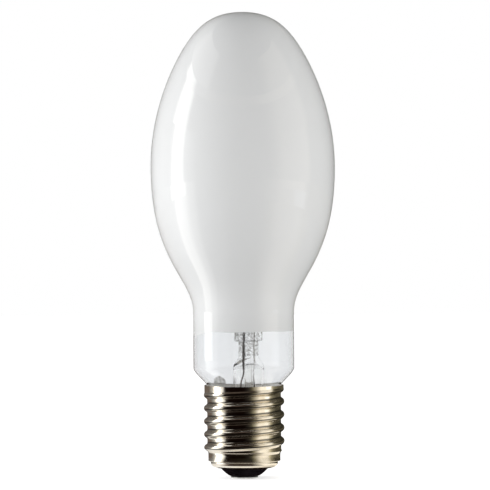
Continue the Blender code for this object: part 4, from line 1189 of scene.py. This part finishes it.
LOW_WALL = WALL_LEFT + [
    (64, 1.2, WARM), (68, 1.7, PALE), (84, 1.7, PALE), (88, 0.7, WARM), (92, 0.35, OLIVE),
    (118, 0.12, OLIVE), (180, 0.1, OLIVE),
]
MIDDLE_WALL = WALL_LEFT + [
    (60, 1.6, WARM), (80, 1.6, WARM), (86, 0.7, WARM), (92, 0.3, OLIVE), (118, 0.12, OLIVE),
    (180, 0.1, OLIVE),
]
HIGH_WALL = [
    (-180, 0.1, BROWN), (-105, 0.2, PALE), (-99, 0.9, PALE), (-95, 4.4, PALE), (-80, 4.4, PALE),
    (-76, 1.2, PALE), (-68, 0.6, PALE), (-58, 0.03, BROWN), (-50, 0.005, DARK), (20, 0.005, DARK),
    (36, 0.1, OLIVE), (52, 0.95, WARM), (86, 1.05, WARM), (94, 0.12, OLIVE), (105, 0.04, OLIVE),
]
WALL_TOP = [
    (-180, 0.1, BROWN), (-106, 0.2, PALE), (-99, 4.4, PALE), (-80, 4.4, PALE), (-75, 0.3, BROWN),
    (-70, 0.12, BROWN), (-50, 0.08, BROWN), (30, 0.08, BROWN), (50, 0.8, WARM), (88, 0.9, WARM),
    (98, 0.12, OLIVE), (150, 0.06, OLIVE),
]
LOW_SLOPE = [
    (-180, 0.1, BROWN), (-112, 0.4, PALE), (-105, 4.0, PALE), (-84, 4.0, PALE), (-78, 0.7, PALE),
    (-60, 0.6, PALE), (-45, 0.3, BROWN), (15, 0.3, BROWN), (30, 0.8, WARM), (55, 1.2, WARM),
    (88, 1.2, WARM), (99, 0.25, WARM), (130, 0.15, WARM), (150, 0.3, OLIVE), (180, 0.05, OLIVE),
]
HIGH_SLOPE = [
    (-180, 0.05, BROWN), (-130, 0.4, PALE), (-112, 1.2, PALE), (-60, 1.0, PALE), (-50, 0.02, DARK),
    (30, 0.02, DARK), (50, 0.8, WARM), (88, 0.8, WARM), (99, 0.12, WARM), (160, 0.1, OLIVE),
    (180, 0.05, OLIVE),
]
LOW_ROOF = [(45, 0.02, BROWN), (65, 0.1, WARM), (145, 0.1, WARM), (160, 0.02, BROWN)]
ROOF = [(-180, 0.02, BROWN), (180, 0.02, BROWN)]

# The surround's sheets, from under the lamp outwards, up and over it. Each starts where the last one ends.
SURROUND_START = (0.007, SHEET_HEIGHT)
SURROUNDS = (
    ("under_end", UNDER_END, (0.0155, SHEET_HEIGHT)),
    ("under_foot", UNDER_FOOT, (0.0215, SHEET_HEIGHT)),
    ("beside_cap", BESIDE_CAP, (0.048, SHEET_HEIGHT)),
    ("shadow_band", SHADOW_BAND, (0.092, SHEET_HEIGHT)),
    ("near_floor", NEAR_FLOOR, (0.20, SHEET_HEIGHT)),
    ("middle_floor", MIDDLE_FLOOR, (0.58, SHEET_HEIGHT)),
    ("far_floor", FAR_FLOOR, (WALL_RADIUS, SHEET_HEIGHT), (WALL_RADIUS, 0.012)),
    ("low_wall", LOW_WALL, (WALL_RADIUS, 0.036)),
    ("middle_wall", MIDDLE_WALL, (WALL_RADIUS, 0.09)),
    ("high_wall", HIGH_WALL, (WALL_RADIUS, 0.42)),
    ("wall_top", WALL_TOP, (WALL_RADIUS, 0.72)),
    ("low_slope", LOW_SLOPE, (0.87, 0.80)),
    ("high_slope", HIGH_SLOPE, (0.72, 1.2)),
    ("low_roof", LOW_ROOF, (0.45, 1.3)),
    ("roof", ROOF, (0.0, 1.4)),
)

copper = wire_look("copper_wire", (0.035, 0.022, 0.018), (0.11, 0.065, 0.048), 0.42)

dress_bulb()
dress_coating()
dress_stem()
dress_exhaust_tube()
dress_pins()
dress_shell_lead(copper)
dress_contact_lead(copper)
dress_cap()
dress_insulator()
dress_contact()
dress_contact_solder()
dress_rim_solder()
dress_cement()
finish_inner_nodes()

sheet_start = SURROUND_START
for name, stops, *points in SURROUNDS:
    surround(name, [sheet_start, *points], glow_material(name, stops))
    sheet_start = points[-1]

make_floor()
make_world()
make_lamp("left_lamp", azimuth=-83, height=0.19, wide=0.65, tall=0.45, power=6.0, colour=(1, 1, 1))
make_lamp("right_lamp", azimuth=61, height=0.12, wide=0.9, tall=0.24, power=3.0, colour=(1, 0.99, 0.975))
make_camera()

scene = bpy.context.scene
scene.view_settings.view_transform = "Standard"
scene.cycles.max_bounces = 24
scene.cycles.transmission_bounces = 24
scene.cycles.transparent_max_bounces = 24
